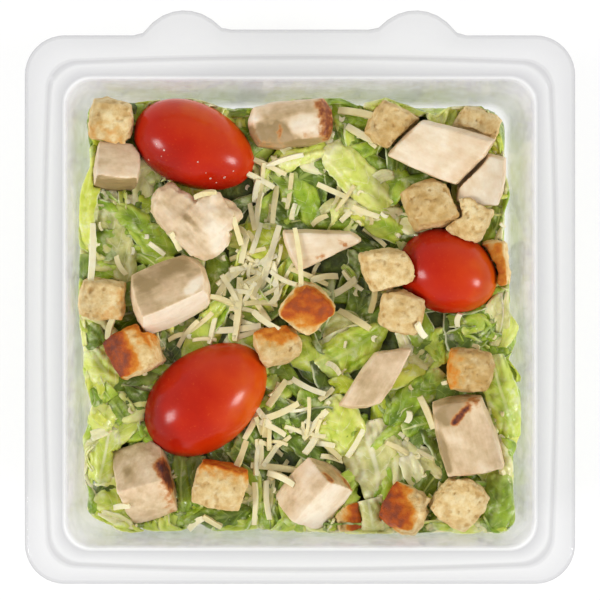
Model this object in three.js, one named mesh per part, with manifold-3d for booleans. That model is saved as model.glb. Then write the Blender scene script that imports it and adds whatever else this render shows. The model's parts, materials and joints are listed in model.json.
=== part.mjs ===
// A chicken caesar salad in a clear, square take-away tray: chopped romaine with shredded cheese as one heap,
// and croutons, diced chicken and small plum tomatoes lying in it as pieces of their own.
//
// Millimetres, +Z up, +Y towards the side with the two opening tabs. The origin is the middle of the bounding
// box, on the surface that the tray stands on.

import * as THREE from "three";
import { mergeVertices } from "three/addons/utils/BufferGeometryUtils.js";
import Module from "manifold-3d";

const wasm = await Module();
wasm.setup();

// ---------------------------------------------------------------- driving dimensions

const TRAY = {
  width: 152, // flange, across X
  depth: 151.5, // flange, along Y, without the tabs
  height: 50,
  wall: 0.6, // thickness of the formed sheet
  corner: 11, // radius of the flange's corners
  lip: { drop: 1.6, run: 1.1 }, // the flange's outer edge, turned down
  tab: { reach: 6.9, radius: 13, fillet: 3.7, offset: 32 },
  backBulge: 1.6, // how much further out the back edge is between the tabs
  frontBand: 9.7, // from the front edge to the well
  ledge: { half: 69, bow: 1.3, radius: 8.5, drop: 2.2, slope: 0.5 }, // seat for a lid
  well: { half: 65, radius: 7, draft: 7, floorFillet: 4 },
};

const GAP = 0.35; // clearance between pieces that touch
const FRONT = -(TRAY.depth + TRAY.tab.reach) / 2;
const BACK = FRONT + TRAY.depth;
const WELL_Y = FRONT + TRAY.frontBand + TRAY.well.half;
const SEAT_Z = TRAY.height - TRAY.ledge.drop;

// The core that carries the leaves and shreds.
const CORE = {
  middle: 30.5, // its height in the middle of the tray
  edge: 27.5, // and along the walls
  shoulder: 1.5, // how far its upper edge is worn down
  bump: 2.2, // how uneven it is
  bumpSpan: 17, // distance from one hollow to the next
  inset: 1.6, // from its sides to the wall, where leaves lie flat against the tray
  foot: 1, // how much narrower it is where it meets the floor
  rings: [0.18, 0.38, 0.58, 0.78, 1], // shares of its half width where its top is shaped
  belt: 20, // height of a ring round its sides
};

const LEAF = {
  thickness: 0.75,
  sink: 1.6, // how deep the lowest point lies in the core
  cup: [-1.2, 1.6], // how far the sides lift above the midrib
  ruffle: [0.7, 1.5], // height of the waves along the sides
  ripple: 0.75, // waves, in radians to a millimetre
  tilt: { about: 22, along: 14 }, // largest lean, in degrees
  large: 21, // from this length on, a leaf bends in four steps and not in three
};

const SHRED = { width: 2.1, thickness: 1.3, roll: 20, steepest: 0.35, sink: 0.5 };

// Egg-shaped plum tomatoes: middle, length, width, turn of the long axis from +X, lift of its far end.
const TOMATOES = [
  { at: [-29.6, 42.3, 31.6], length: 35.6, width: 23.8, turn: -23, lift: -4 },
  { at: [-26.1, -28.1, 30.2], length: 38.8, width: 27.4, turn: 39, lift: 3 },
  { at: [41.6, 6.8, 31.4], length: 28.6, width: 23.4, turn: -20, lift: 8 },
];

// Diced chicken, from the topmost piece down. turn is about Z, tilt about the piece's own X and Y. taper
// narrows the +X end, skew shifts the sides along each other, round is the exponent of the corners' curve,
// rough is how far the surface goes up and down. A lobe is a second lump on the piece.
const CHICKEN = [
  { at: [39.2, 41, 36.9], size: [22.8, 13, 9], turn: -19, tilt: [12, -5], taper: -0.28, skew: 0.3 },
  { at: [6.6, 14.8, 35.4], size: [20.4, 13.4, 7.5], turn: 12, tilt: [8, -3], taper: 0.8, skew: -0.1 },
  { at: [21.5, -22.6, 36.6], size: [19.5, 10.4, 8], turn: 58, tilt: [6, 4], taper: 0.2, skew: -0.35 },
  { at: [4, -55.2, 32.6], size: [17.4, 12.8, 13.8], turn: 50, tilt: [-39, -16], taper: 0.04 },
  {
    at: [-31.2, 20.6, 36],
    size: [25, 11.5, 9],
    turn: -42,
    tilt: [5, -6],
    taper: -0.1,
    round: 4.5,
    rough: 1.5,
    lobe: { at: [3.8, 5.6, 0.8], size: [12.5, 12, 9.5] },
  },
  { at: [-36.2, 1.2, 34.2], size: [22.5, 16.5, 14.5], turn: 22, tilt: [-26, 5], taper: 0.1, skew: 0.1, round: 5.5 },
  { at: [46.6, -38.6, 34.8], size: [22.5, 15, 12.5], turn: -74, tilt: [6, 7], taper: -0.16, skew: 0.08 },
  { at: [-43.4, -51.8, 31.8], size: [17.5, 15.6, 16.5], turn: -80, tilt: [8, -44], taper: 0.04 },
  { at: [-2.6, 48.6, 33.2], size: [24, 13, 11.5], turn: 7, tilt: [-7, -2], taper: -0.08, round: 3.6 },
  { at: [50.8, 33, 33.4], size: [13, 15, 11.5], turn: -6, tilt: [5, -4], taper: 0.04, skew: 0.06 },
  { at: [-51.6, 36.8, 33.4], size: [12.4, 11.6, 11.6], turn: -5, tilt: [-20, 9], taper: 0.02 },
];

// Croutons, in the same terms.
const CROUTONS = [
  { at: [1.9, -3, 36.2], size: [12.6, 12.2, 11], turn: 48, tilt: [12, -10] },
  { at: [24.9, 8, 37.2], size: [14.6, 13, 10.5], turn: 10, tilt: [6, 4], taper: 0.28, skew: -0.2 },
  { at: [28.6, -3.9, 35.4], size: [13, 11.4, 11], turn: -12, tilt: [8, 0] },
  { at: [36.2, 25.7, 35.2], size: [13.4, 13, 12], turn: 18, tilt: [-6, 8] },
  { at: [47.2, 21.8, 34.6], size: [11.6, 11.8, 11], turn: -24, tilt: [4, -5] },
  { at: [47.6, -20.6, 35.6], size: [12.4, 12.2, 11.8], turn: -4, tilt: [6, -3] },
  { at: [25.6, 48.2, 34.2], size: [12, 11.8, 11.4], turn: -31, tilt: [7, 4] },
  { at: [-53, 49.4, 34.6], size: [12, 12.2, 12], turn: -8, tilt: [9, 4] },
  { at: [-55.2, -0.4, 34.4], size: [13.2, 11.4, 11.4], turn: -6, tilt: [10, 3] },
  { at: [-46.6, -15.4, 35], size: [13.6, 13.4, 12.4], turn: 27, tilt: [-5, -14] },
  { at: [-22.4, -52.4, 34], size: [14.4, 12.8, 12], turn: -13, tilt: [7, -3] },
  { at: [-6.2, -13.4, 34], size: [13.4, 10, 11], turn: 14, tilt: [-12, 2] },
  { at: [44.8, -57.6, 34.6], size: [13.2, 13.6, 12.4], turn: -36, tilt: [5, 8] },
  { at: [29.8, -59.6, 32], size: [12.8, 12.6, 11.8], turn: -27, tilt: [-9, -12] },
  { at: [49.4, 47, 31.6], size: [12.6, 11.6, 11], turn: -22, tilt: [4, 6] },
  { at: [54.6, 9.4, 31.2], size: [8, 13.6, 11], turn: 4, tilt: [0, -8] },
  { at: [13.4, -62, 29], size: [7.6, 8, 9], turn: 10, tilt: [0, 6] },
];

// The largest leaf pieces on top: x and y of the middle, length, width, turn of the length from +X, and the
// angle that the leaf bends through over its length.
const LEAVES = [
  [1.6, 39.6, 18, 12, 22, 110],
  [16, 33, 27, 16, -37, 120],
  [5, 26.4, 21, 17, -62, 80],
  [24, 19.6, 15, 9, -10, 70],
  [-11.8, 16.6, 21, 12, 5, 50],
  [-57.2, 24, 22, 11, 86, 50],
  [-52.6, 14.6, 22, 13, -76, 50],
  [-42, 17.4, 20, 10, -36, 70],
  [58.6, -27.4, 25, 12, -82, 70],
  [38.6, -14, 12, 9, -62, 60],
  [57.6, -7.8, 16, 9, 75, 40],
  [3.4, -15.4, 18, 14, -30, 80],
  [15.4, -13.6, 22, 13, 27, 80],
  [12.8, -38, 18, 15, 80, 60],
  [21.6, -46.4, 24, 16, -60, 50],
  [33.6, -25.4, 22, 14, 62, 60],
  [55.8, -58, 18, 14, 70, 50],
  [-51, -23.4, 20, 12, -26, 60],
  [-48.4, -31, 15, 11, -50, 50],
  [-55.6, -45.6, 20, 9, 86, 60],
  [-53.6, -60.6, 16, 11, -20, 40],
  [-33.6, -58, 18, 9, 80, 50],
  [-11.6, -59, 20, 12, 86, 50],
  [0, -28.4, 20, 13, 42, 70],
  [12.8, 51.6, 18, 10, -10, 60],
];

// Smaller leaf pieces fill the rest of the top, one to a square of a grid unless something larger lies within
// the clear distance. Others stand against each of the four walls, in rows.
const FILLER = { columns: 7, length: [13, 18], width: [8, 12], bend: [25, 70], clear: 10 };
const WALL_LEAF = { rows: [12, 21], sway: 0.2, length: [28, 34], width: [17, 21], bend: 12 };

// The longest cheese shreds: x and y of the middle, length, turn from +X. The others are drawn at random,
// most of them near the middle.
const SHREDS = [
  [-8.8, 11, 21, 75],
  [-0.4, 11.4, 16.5, 94],
  [-17.8, -2.6, 17.5, 86],
  [-11.8, 25, 9.5, 82],
  [-14.8, 8.8, 10.5, 0],
  [-11.4, -0.8, 11.5, -46],
  [-18, -8.6, 13, 7],
  [-58, 12.6, 17, 89],
  [-7.6, -47, 12.5, -5],
  [-12.8, -57.2, 11.5, 89],
  [15.6, 52.8, 10, -8],
  [37, -33, 9, -68],
];
const LOOSE_SHREDS = { tries: 60, most: 10, middle: [-4, 4], spread: 42, length: [6.5, 12] };

// How finely curves are stepped.
const STEPS = {
  corner: 4, // to a quarter turn of the tray's corners
  tab: 10, // across each tab
  core: 4, // along each side of the core
  block: 3, // along each edge of a block
  tomato: [9, 14], // along and around
};

// ---------------------------------------------------------------- numbers that look random

const DEG = Math.PI / 180;
const lerp = (a, b, t) => a + (b - a) * t;
const shares = (count) => Array.from({ length: count }, (_, i) => i / count);

// A number from 0 to 1 that depends only on the two numbers given.
function chance(i, k) {
  const s = Math.sin(i * 12.9898 + k * 78.233) * 43758.5453;
  return s - Math.floor(s);
}

const between = ([low, high], i, k) => lerp(low, high, chance(i, k));
const within = (most, i, k) => between([-most, most], i, k);

// Smooth noise from -1 to 1 over space, one bump to a unit.
function noise(x, y, z) {
  const [i, j, k] = [x, y, z].map(Math.floor);
  const [fx, fy, fz] = [x - i, y - j, z - k].map((f) => f * f * (3 - 2 * f));
  const corner = (a, b, c) => chance(i + a + 57 * (j + b), k + c + 131);
  const edge = (b, c) => lerp(corner(0, b, c), corner(1, b, c), fx);
  const face = (c) => lerp(edge(0, c), edge(1, c), fy);
  return 2 * lerp(face(0), face(1), fz) - 1;
}

// ---------------------------------------------------------------- solids

function geometryOf(points, triangles) {
  const numbers = points.flatMap((p) => [p.x, p.y, p.z]);
  const geometry = new THREE.BufferGeometry();
  geometry.setAttribute("position", new THREE.Float32BufferAttribute(numbers, 3));
  geometry.setIndex(triangles);
  return geometry;
}

// The same geometry with one vertex to a place.
function welded(geometry) {
  const bare = geometry.clone();
  bare.deleteAttribute("normal");
  bare.deleteAttribute("uv");
  return mergeVertices(bare, 1e-4);
}

function solidOf(geometry) {
  const { attributes, index } = welded(geometry);
  const vertProperties = new Float32Array(attributes.position.array);
  const triVerts = new Uint32Array(index.array);
  return new wasm.Manifold(new wasm.Mesh({ numProp: 3, vertProperties, triVerts }));
}

function meshOf(name, solid, material) {
  const { vertProperties, numProp, triVerts } = solid.getMesh();
  const geometry = new THREE.BufferGeometry();
  geometry.setAttribute("position", new THREE.BufferAttribute(new Float32Array(vertProperties), numProp));
  geometry.setIndex(new THREE.BufferAttribute(new Uint32Array(triVerts), 1));
  geometry.computeVertexNormals();
  const mesh = new THREE.Mesh(geometry, material);
  mesh.name = name;
  return mesh;
}

// Loose scraps and sealed hollows are shells of their own, so the largest shell leaves both out.
const largestBody = (solid) => solid.decompose().reduce((best, s) => (s.volume() > best.volume() ? s : best));

// A skin over loops of equally many points, each loop counter-clockwise seen from above. It starts at the
// middle of the first loop, on the upper side, and ends at the middle of the last.
function loft(loops) {
  const count = loops[0].length;
  const middle = (loop) => loop.reduce((sum, p) => sum.add(p), new THREE.Vector3()).divideScalar(count);
  const points = [middle(loops[0]), ...loops.flat(), middle(loops.at(-1))];
  const last = loops.length - 1;
  const at = (row, i) => 1 + row * count + (i % count);
  const triangles = [];
  for (let i = 0; i < count; i++) {
    triangles.push(0, at(0, i), at(0, i + 1));
    for (let row = 0; row < last; row++) {
      triangles.push(at(row, i), at(row + 1, i), at(row + 1, i + 1));
      triangles.push(at(row, i), at(row + 1, i + 1), at(row, i + 1));
    }
    triangles.push(at(last, i), points.length - 1, at(last, i + 1));
  }
  return geometryOf(points, triangles);
}

// A loop round a rectangle [west, east, south, north] with rounded corners. The sides may bow outwards, and
// backEdge may give the Y of the back side for each X. steps holds the steps to a corner and the stops along
// the plain sides and the back side, as shares of their length.
function rectangleLoop([west, east, south, north], radius, z, steps, { bow = 0, backEdge } = {}) {
  const bulge = (f) => bow * 4 * f * (1 - f);
  const [left, right, low, high] = [west + radius, east - radius, south + radius, north - radius];
  const back = (x, f) => [x, backEdge ? backEdge(x) : north + bulge(f)];
  const sides = [
    { stops: steps.side, along: (f) => [east + bulge(f), lerp(low, high, f)], corner: [right, high] },
    { stops: steps.back, along: (f) => back(lerp(right, left, f), f), corner: [left, high] },
    { stops: steps.side, along: (f) => [west - bulge(f), lerp(high, low, f)], corner: [left, low] },
    { stops: steps.side, along: (f) => [lerp(left, right, f), south - bulge(f)], corner: [right, low] },
  ];
  return sides.flatMap(({ stops, along, corner: [x, y] }, side) => {
    const straight = stops.map((f) => new THREE.Vector3(...along(f), z));
    const arc = shares(steps.corner).map((f) => {
      const angle = (side + f) * 90 * DEG;
      return new THREE.Vector3(x + radius * Math.cos(angle), y + radius * Math.sin(angle), z);
    });
    return [...straight, ...arc];
  });
}

const squareRoundWell = (half) => [-half, half, WELL_Y - half, WELL_Y + half];

// ---------------------------------------------------------------- the tray

// Geometry of a tab: from its middle to where its fillet meets the straight edge that is at base.
function tabFillet(base) {
  const { reach, radius, fillet } = TRAY.tab;
  const arcY = BACK + reach - radius;
  const y = base + fillet;
  return { arcY, y, x: Math.sqrt((radius + fillet) ** 2 - (y - arcY) ** 2) };
}

// Y of the flange's back edge, moved in by an inset, with its two round tabs.
function backEdge(x, inset) {
  const { radius, fillet, offset } = TRAY.tab;
  const away = Math.abs(x) - offset;
  const base = away < 0 ? BACK + TRAY.backBulge : BACK;
  const corner = tabFillet(base);
  const tangent = (corner.x * (radius - inset)) / (radius + fillet);
  const distance = Math.abs(away);
  if (distance >= corner.x) return base - inset;
  if (distance <= tangent) return corner.arcY + Math.sqrt((radius - inset) ** 2 - distance ** 2);
  return corner.y - Math.sqrt((fillet + inset) ** 2 - (corner.x - distance) ** 2);
}

// Stops along the back side: close together on the tabs, one between them.
function backStops() {
  const half = TRAY.width / 2 - TRAY.corner;
  const reach = tabFillet(BACK).x;
  const tab = (middle) => [...shares(STEPS.tab), 1].map((f) => middle + lerp(reach, -reach, f));
  const places = [...tab(TRAY.tab.offset), 0, ...tab(-TRAY.tab.offset)];
  return [0, ...places.map((x) => (half - x) / (2 * half))];
}

const TRAY_STEPS = { corner: STEPS.corner, side: shares(3), back: backStops() };

function flangeLoop(inset, z) {
  const half = TRAY.width / 2 - inset;
  const edges = [-half, half, FRONT + inset, BACK - inset];
  return rectangleLoop(edges, TRAY.corner - inset, z, TRAY_STEPS, { backEdge: (x) => backEdge(x, inset) });
}

function ledgeLoop(outset, z) {
  const { half, bow, radius } = TRAY.ledge;
  return rectangleLoop(squareRoundWell(half + outset), radius + outset, z, TRAY_STEPS, { bow });
}

// Half the well's width at a height: the wall leans in with the draft and curves into the floor.
function wellHalf(z) {
  const { half, draft, floorFillet } = TRAY.well;
  const up = Math.min(1, Math.max(0, (z - TRAY.wall) / floorFillet));
  const curl = floorFillet * (1 - Math.sqrt(1 - (1 - up) ** 2));
  return half - (SEAT_Z - z) * Math.tan(draft * DEG) - curl;
}

// A loop round the well, moved out from where the wall is at one height and laid at another.
function wellLoop(outset, wallZ, z = wallZ, steps = TRAY_STEPS) {
  return rectangleLoop(squareRoundWell(wellHalf(wallZ) + outset), TRAY.well.radius + outset, z, steps);
}

function trayGeometry() {
  const { height, wall, lip, ledge, well } = TRAY;
  const [floor, bend, straight] = [0, 0.3, 1].map((share) => wall + share * well.floorFillet);
  return loft([
    wellLoop(0, floor),
    wellLoop(0, bend),
    wellLoop(0, straight),
    wellLoop(0, SEAT_Z),
    ledgeLoop(0, SEAT_Z),
    ledgeLoop(ledge.slope, height),
    flangeLoop(lip.run, height),
    flangeLoop(0, height - lip.drop),
    flangeLoop(wall, height - lip.drop),
    flangeLoop(lip.run + wall / 2, height - wall),
    ledgeLoop(ledge.slope + wall, height - wall),
    ledgeLoop(wall, SEAT_Z - wall),
    wellLoop(wall, SEAT_Z - wall),
    wellLoop(wall, straight),
    wellLoop(wall, bend, bend - wall / 2),
    wellLoop(wall, floor, 0),
  ]);
}

// ---------------------------------------------------------------- croutons, chicken and tomatoes

const BUMP_SPAN = 5; // width of one bump on a block

// A block with worn corners and an uneven surface. With a clearance it is the plainer, larger block that the
// other one fits into.
function blockGeometry({ size, taper = 0, skew = 0, round, rough, seed }, clearance = 0) {
  const steps = clearance > 0 ? 2 : STEPS.block;
  const block = welded(new THREE.BoxGeometry(1, 1, 1, steps, steps, steps));
  const position = block.attributes.position;
  const p = new THREE.Vector3();
  for (let i = 0; i < position.count; i++) {
    p.fromBufferAttribute(position, i);
    const reach = Math.max(...p.toArray().map(Math.abs));
    const spread = p.toArray().reduce((sum, v) => sum + Math.abs(v) ** round, 0) ** (1 / round);
    p.multiplyScalar(reach / spread);
    p.x += skew * p.y;
    p.y *= 1 - taper * (p.x + 0.5);
    p.multiply(new THREE.Vector3(...size));
    const bump = rough * noise(p.x / BUMP_SPAN + seed, p.y / BUMP_SPAN, p.z / BUMP_SPAN + seed);
    p.setLength(p.length() + (clearance > 0 ? rough + 2.3 * clearance : bump));
    position.setXYZ(i, ...p);
  }
  return block;
}

// An egg on its side, its long axis along X, a little blunter at one end. With a clearance it is the plainer,
// larger egg that the other one fits into.
function tomatoGeometry({ length, width }, clearance = 0) {
  const [along, around] = clearance > 0 ? [6, 10] : STEPS.tomato;
  const grow = 3.8 * clearance;
  const blunt = 0.07;
  const profile = [...shares(along), 1].map((f) => {
    const angle = lerp(-90, 90, f) * DEG;
    const radius = (width / 2 + grow) * Math.cos(angle) * (1 - blunt * Math.sin(angle));
    return new THREE.Vector2(f % 1 === 0 ? 0 : radius, (length / 2 + grow) * Math.sin(angle));
  });
  return new THREE.LatheGeometry(profile, around).rotateZ(-90 * DEG);
}

function placeOf({ at, turn = 0, tilt = [0, 0], lift = 0 }) {
  const spin = new THREE.Euler(tilt[0] * DEG, (tilt[1] - lift) * DEG, turn * DEG, "ZYX");
  return new THREE.Matrix4().makeRotationFromEuler(spin).setPosition(...at);
}

function blockSolid(piece, clearance) {
  const main = solidOf(blockGeometry(piece, clearance).applyMatrix4(placeOf(piece)));
  if (!piece.lobe) return main;
  const lobe = blockGeometry({ ...piece, size: piece.lobe.size }, clearance);
  return main.add(solidOf(lobe.translate(...piece.lobe.at).applyMatrix4(placeOf(piece))));
}

function tomatoSolid(piece, clearance) {
  return solidOf(tomatoGeometry(piece, clearance).applyMatrix4(placeOf(piece)));
}

// Each topping has its solid and the socket that it leaves in what it lies in.
function toppings(name, rows, make, usual = {}) {
  return rows.map((row, i) => {
    const piece = { ...usual, seed: 3.7 * (i + 1), ...row };
    return { name: `${name}_${i + 1}`, at: row.at, solid: make(piece), socket: make(piece, GAP) };
  });
}

// Trims each piece where it lies against the ones before it.
function trimmed(pieces) {
  pieces.forEach((piece, i) => {
    const crossing = pieces.slice(0, i).filter(({ socket }) => piece.solid.intersect(socket).volume() > 0);
    crossing.forEach(({ socket }) => {
      piece.solid = largestBody(piece.solid.subtract(socket));
    });
  });
  return pieces;
}

// ---------------------------------------------------------------- the salad

function coreTop(x, y) {
  const reach = Math.max(Math.abs(x), Math.abs(y - WELL_Y)) / TRAY.well.half;
  const bumps = noise(x / CORE.bumpSpan + 4.3, y / CORE.bumpSpan + 8.1, 0.5);
  return lerp(CORE.middle, CORE.edge, reach ** 3) + CORE.bump * bumps;
}

function overCore(x, y) {
  return Math.max(Math.abs(x), Math.abs(y - WELL_Y)) < wellHalf(CORE.edge) - CORE.inset;
}

function coreGeometry() {
  const stops = shares(STEPS.core);
  const steps = { corner: 2, side: stops, back: stops };
  const ring = (share) =>
    wellLoop(-CORE.inset, CORE.edge, CORE.edge, steps).map((p) => {
      const [x, y] = [p.x * share, lerp(WELL_Y, p.y, share)];
      return new THREE.Vector3(x, y, coreTop(x, y) - (share === 1 ? CORE.shoulder : 0));
    });
  return loft([
    ...CORE.rings.map(ring),
    wellLoop(-CORE.inset, CORE.belt, CORE.belt, steps),
    wellLoop(-CORE.inset, TRAY.wall + TRAY.well.floorFillet, undefined, steps),
    wellLoop(-CORE.inset - CORE.foot, TRAY.wall + GAP, undefined, steps),
  ]);
}

// Inside of the tray, less the clearance: nothing of the salad may leave it.
function cavitySolid() {
  const { height, wall, well } = TRAY;
  return solidOf(
    loft([
      wellLoop(-GAP, SEAT_Z, height),
      wellLoop(-GAP, SEAT_Z),
      wellLoop(-GAP, wall + well.floorFillet),
      wellLoop(-GAP, wall + well.floorFillet * 0.3),
      wellLoop(-GAP, wall + GAP),
    ]),
  );
}

// A thin wavy sheet along X, bent over its length and narrower at its ends, with its middle on top at the
// origin. Both faces are split into triangles alike.
function leafGeometry({ length, width, bend, cup, ruffle, seed }) {
  const [along, across] = [length > LEAF.large ? 4 : 3, 2];
  const radius = length / (bend * DEG);
  const spot = (i, j, side) => {
    const u = i / along - 0.5;
    const v = (2 * j) / across - 1;
    const taper = 0.5 + 0.5 * Math.cos(u * 150 * DEG);
    const ragged = between([0.86, 1.1], seed + i, j + 5);
    const wave = ruffle * Math.abs(v) * Math.sin(u * length * LEAF.ripple + v * 1.3 + seed);
    const out = radius + cup * v * v + wave + (side * LEAF.thickness) / 2;
    const angle = u * bend * DEG;
    const y = (v * width * taper * ragged) / 2;
    return new THREE.Vector3(out * Math.sin(angle), y, out * Math.cos(angle) - radius);
  };
  const points = [];
  for (const side of [1, -1]) {
    for (let i = 0; i <= along; i++) {
      for (let j = 0; j <= across; j++) points.push(spot(i, j, side));
    }
  }
  return geometryOf(points, sheetTriangles(along, across));
}

// Triangles of a sheet whose points are the grid of its upper face and then that of its lower face.
function sheetTriangles(along, across) {
  const row = across + 1;
  const under = (along + 1) * row;
  const triangles = [];
  const quad = (a, b, c, d) => triangles.push(a, b, c, a, c, d);
  const rim = (a, b) => quad(a, under + a, under + b, b);
  for (let i = 0; i < along; i++) {
    for (let j = 0; j < across; j++) {
      const [a, b, c, d] = [i * row + j, (i + 1) * row + j, (i + 1) * row + j + 1, i * row + j + 1];
      quad(a, b, c, d);
      triangles.push(under + a, under + c, under + b, under + a, under + d, under + c);
    }
    rim(i * row, (i + 1) * row);
    rim((i + 1) * row + across, i * row + across);
  }
  for (let j = 0; j < across; j++) {
    rim(j + 1, j);
    rim(along * row + j, along * row + j + 1);
  }
  return triangles;
}

// A leaf lying on the core, its lowest point sunk in.
function topLeaf([x, y, length, width, turn, bend], i) {
  const leaf = leafGeometry({
    length,
    width,
    bend,
    cup: between(LEAF.cup, i, 2),
    ruffle: between(LEAF.ruffle, i, 3),
    seed: i,
  });
  const tilt = [within(LEAF.tilt.about, i, 4), within(LEAF.tilt.along, i, 5)];
  leaf.applyMatrix4(placeOf({ at: [x, y, 0], turn, tilt }));
  const points = leaf.attributes.position;
  let lowest = Infinity;
  for (let k = 0; k < points.count; k++) {
    const [px, py, pz] = [points.getX(k), points.getY(k), points.getZ(k)];
    if (overCore(px, py)) lowest = Math.min(lowest, pz - coreTop(px, py));
  }
  return solidOf(leaf.translate(0, 0, -lowest - LEAF.sink));
}

// Rows like those of LEAVES for what the larger leaves and the toppings leave free.
function fillerRows(taken) {
  const { columns, length, width, bend, clear } = FILLER;
  const half = wellHalf(CORE.middle) - 3;
  const rows = [];
  for (let i = 0; i < columns ** 2; i++) {
    const spot = (column, k) => lerp(-half, half, (column + between([0.25, 0.75], i, k)) / columns);
    const x = spot(i % columns, 11);
    const y = WELL_Y + spot(Math.floor(i / columns), 12);
    if (taken.some((other) => Math.hypot(other[0] - x, other[1] - y) < clear)) continue;
    const sizes = [between(length, i, 13), between(width, i, 14)];
    rows.push([x, y, ...sizes, between([0, 180], i, 15), between(bend, i, 16)]);
  }
  return rows;
}

// Leaves standing against the four walls.
function wallLeaves() {
  const { rows, sway, length, width, bend } = WALL_LEAF;
  return rows.flatMap((z, row) =>
    [0, 1, 2, 3].map((side) => {
      const i = 4 * row + side;
      const half = wellHalf(z);
      const sizes = { length: between(length, i, 22), width: between(width, i, 23), bend };
      const leaf = leafGeometry({ ...sizes, cup: 1, ruffle: LEAF.ruffle[0], seed: i });
      leaf.rotateZ(between([0, 180], i, 24) * DEG).rotateY((90 - TRAY.well.draft) * DEG);
      leaf.translate(half - CORE.inset, (row - 0.5 + within(sway, i, 21)) * half, z);
      return solidOf(leaf.rotateZ(side * 90 * DEG).translate(0, WELL_Y, 0));
    }),
  );
}

// Gives the height of a mesh's top at a place, or nothing where there is none.
function heightFinder(mesh) {
  const ray = new THREE.Raycaster();
  const down = new THREE.Vector3(0, 0, -1);
  mesh.updateMatrixWorld(true);
  return (x, y) => {
    ray.set(new THREE.Vector3(x, y, 2 * TRAY.height), down);
    return ray.intersectObject(mesh)[0]?.point.z;
  };
}

// Rows like those of SHREDS, close together near the middle.
function looseShredRows() {
  const { tries, spread, middle, length } = LOOSE_SHREDS;
  const bell = (i, k) => spread * (chance(i, k) + chance(i, k + 1) + chance(i, k + 2) - 1.5);
  return Array.from({ length: tries }, (_, i) => {
    const place = [middle[0] + bell(i, 31), middle[1] + bell(i, 34)];
    return [...place, between(length, i, 37), between([0, 180], i, 38)];
  });
}

// A straight strip of cheese, laid across what is highest under it and pressed in a little. A list with none
// where a topping lies in its way.
function shredSolids([x, y, length, turn], i, heightAt, toppingAt) {
  const spots = [-0.5, -0.25, 0, 0.25, 0.5].map((share) => {
    const s = share * length;
    const place = [x + s * Math.cos(turn * DEG), y + s * Math.sin(turn * DEG)];
    return { s, z: heightAt(...place), free: toppingAt(...place) === undefined };
  });
  if (!spots.every(({ z, free }) => free && z !== undefined)) return [];
  const rise = (spots.at(-1).z - spots[0].z) / length;
  const slope = Math.max(-SHRED.steepest, Math.min(SHRED.steepest, rise));
  const rest = Math.max(...spots.map(({ s, z }) => z - slope * s));
  const strip = new THREE.BoxGeometry(length, SHRED.width, SHRED.thickness);
  strip.rotateX(within(SHRED.roll, i, 7) * DEG).rotateY(-Math.atan(slope)).rotateZ(turn * DEG);
  return [solidOf(strip.translate(x, y, rest + SHRED.thickness / 2 - SHRED.sink))];
}

function saladSolid(pieces) {
  const { Manifold } = wasm;
  const taken = [...pieces.map((piece) => piece.at), ...LEAVES];
  const leaves = [...LEAVES, ...fillerRows(taken)].map(topLeaf);
  const heap = Manifold.union([solidOf(coreGeometry()), ...leaves, ...wallLeaves()]);
  const sockets = Manifold.union(pieces.map((piece) => piece.socket));
  const heightAt = heightFinder(meshOf("heap", heap));
  const toppingAt = heightFinder(meshOf("sockets", sockets));
  const shreds = (rows) => rows.flatMap((row, i) => shredSolids(row, i, heightAt, toppingAt));
  const loose = shreds(looseShredRows()).slice(0, LOOSE_SHREDS.most);
  const whole = Manifold.union([heap, ...shreds(SHREDS), ...loose]);
  return largestBody(whole.subtract(sockets).intersect(cavitySolid()));
}

// ---------------------------------------------------------------- the object

function material(color, roughness, more = {}) {
  return new THREE.MeshStandardMaterial({ color, roughness, metalness: 0, ...more });
}

const MATERIALS = {
  tray: material(0xeef1f2, 0.08, { transparent: true, opacity: 0.3 }),
  salad: material(0x7f9a35, 0.4),
  tomato: material(0xc22a10, 0.15),
  chicken: material(0xe6c9a6, 0.5),
  crouton: material(0xdcb878, 0.85),
};

const pieces = trimmed([
  ...toppings("tomato", TOMATOES, tomatoSolid),
  ...toppings("chicken", CHICKEN, blockSolid, { round: 9, rough: 0.5 }),
  ...toppings("crouton", CROUTONS, blockSolid, { round: 6, rough: 0.8 }),
]);

const root = new THREE.Group();
root.name = "chicken_caesar_salad";
root.add(meshOf("tray", solidOf(trayGeometry()), MATERIALS.tray));
root.add(meshOf("salad", saladSolid(pieces), MATERIALS.salad));
pieces.forEach(({ name, solid }) => root.add(meshOf(name, solid, MATERIALS[name.split("_")[0]])));

export default root;
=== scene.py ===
"""Looks of a chicken caesar salad in a clear square tray: plastic, romaine, shredded cheese, croutons, diced
chicken and plum tomatoes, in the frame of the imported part. Measures are in mm until they enter the scene."""

import json
import math

import bpy
import numpy as np
from mathutils import Euler, Matrix, Vector
from mathutils.bvhtree import BVHTree

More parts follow.
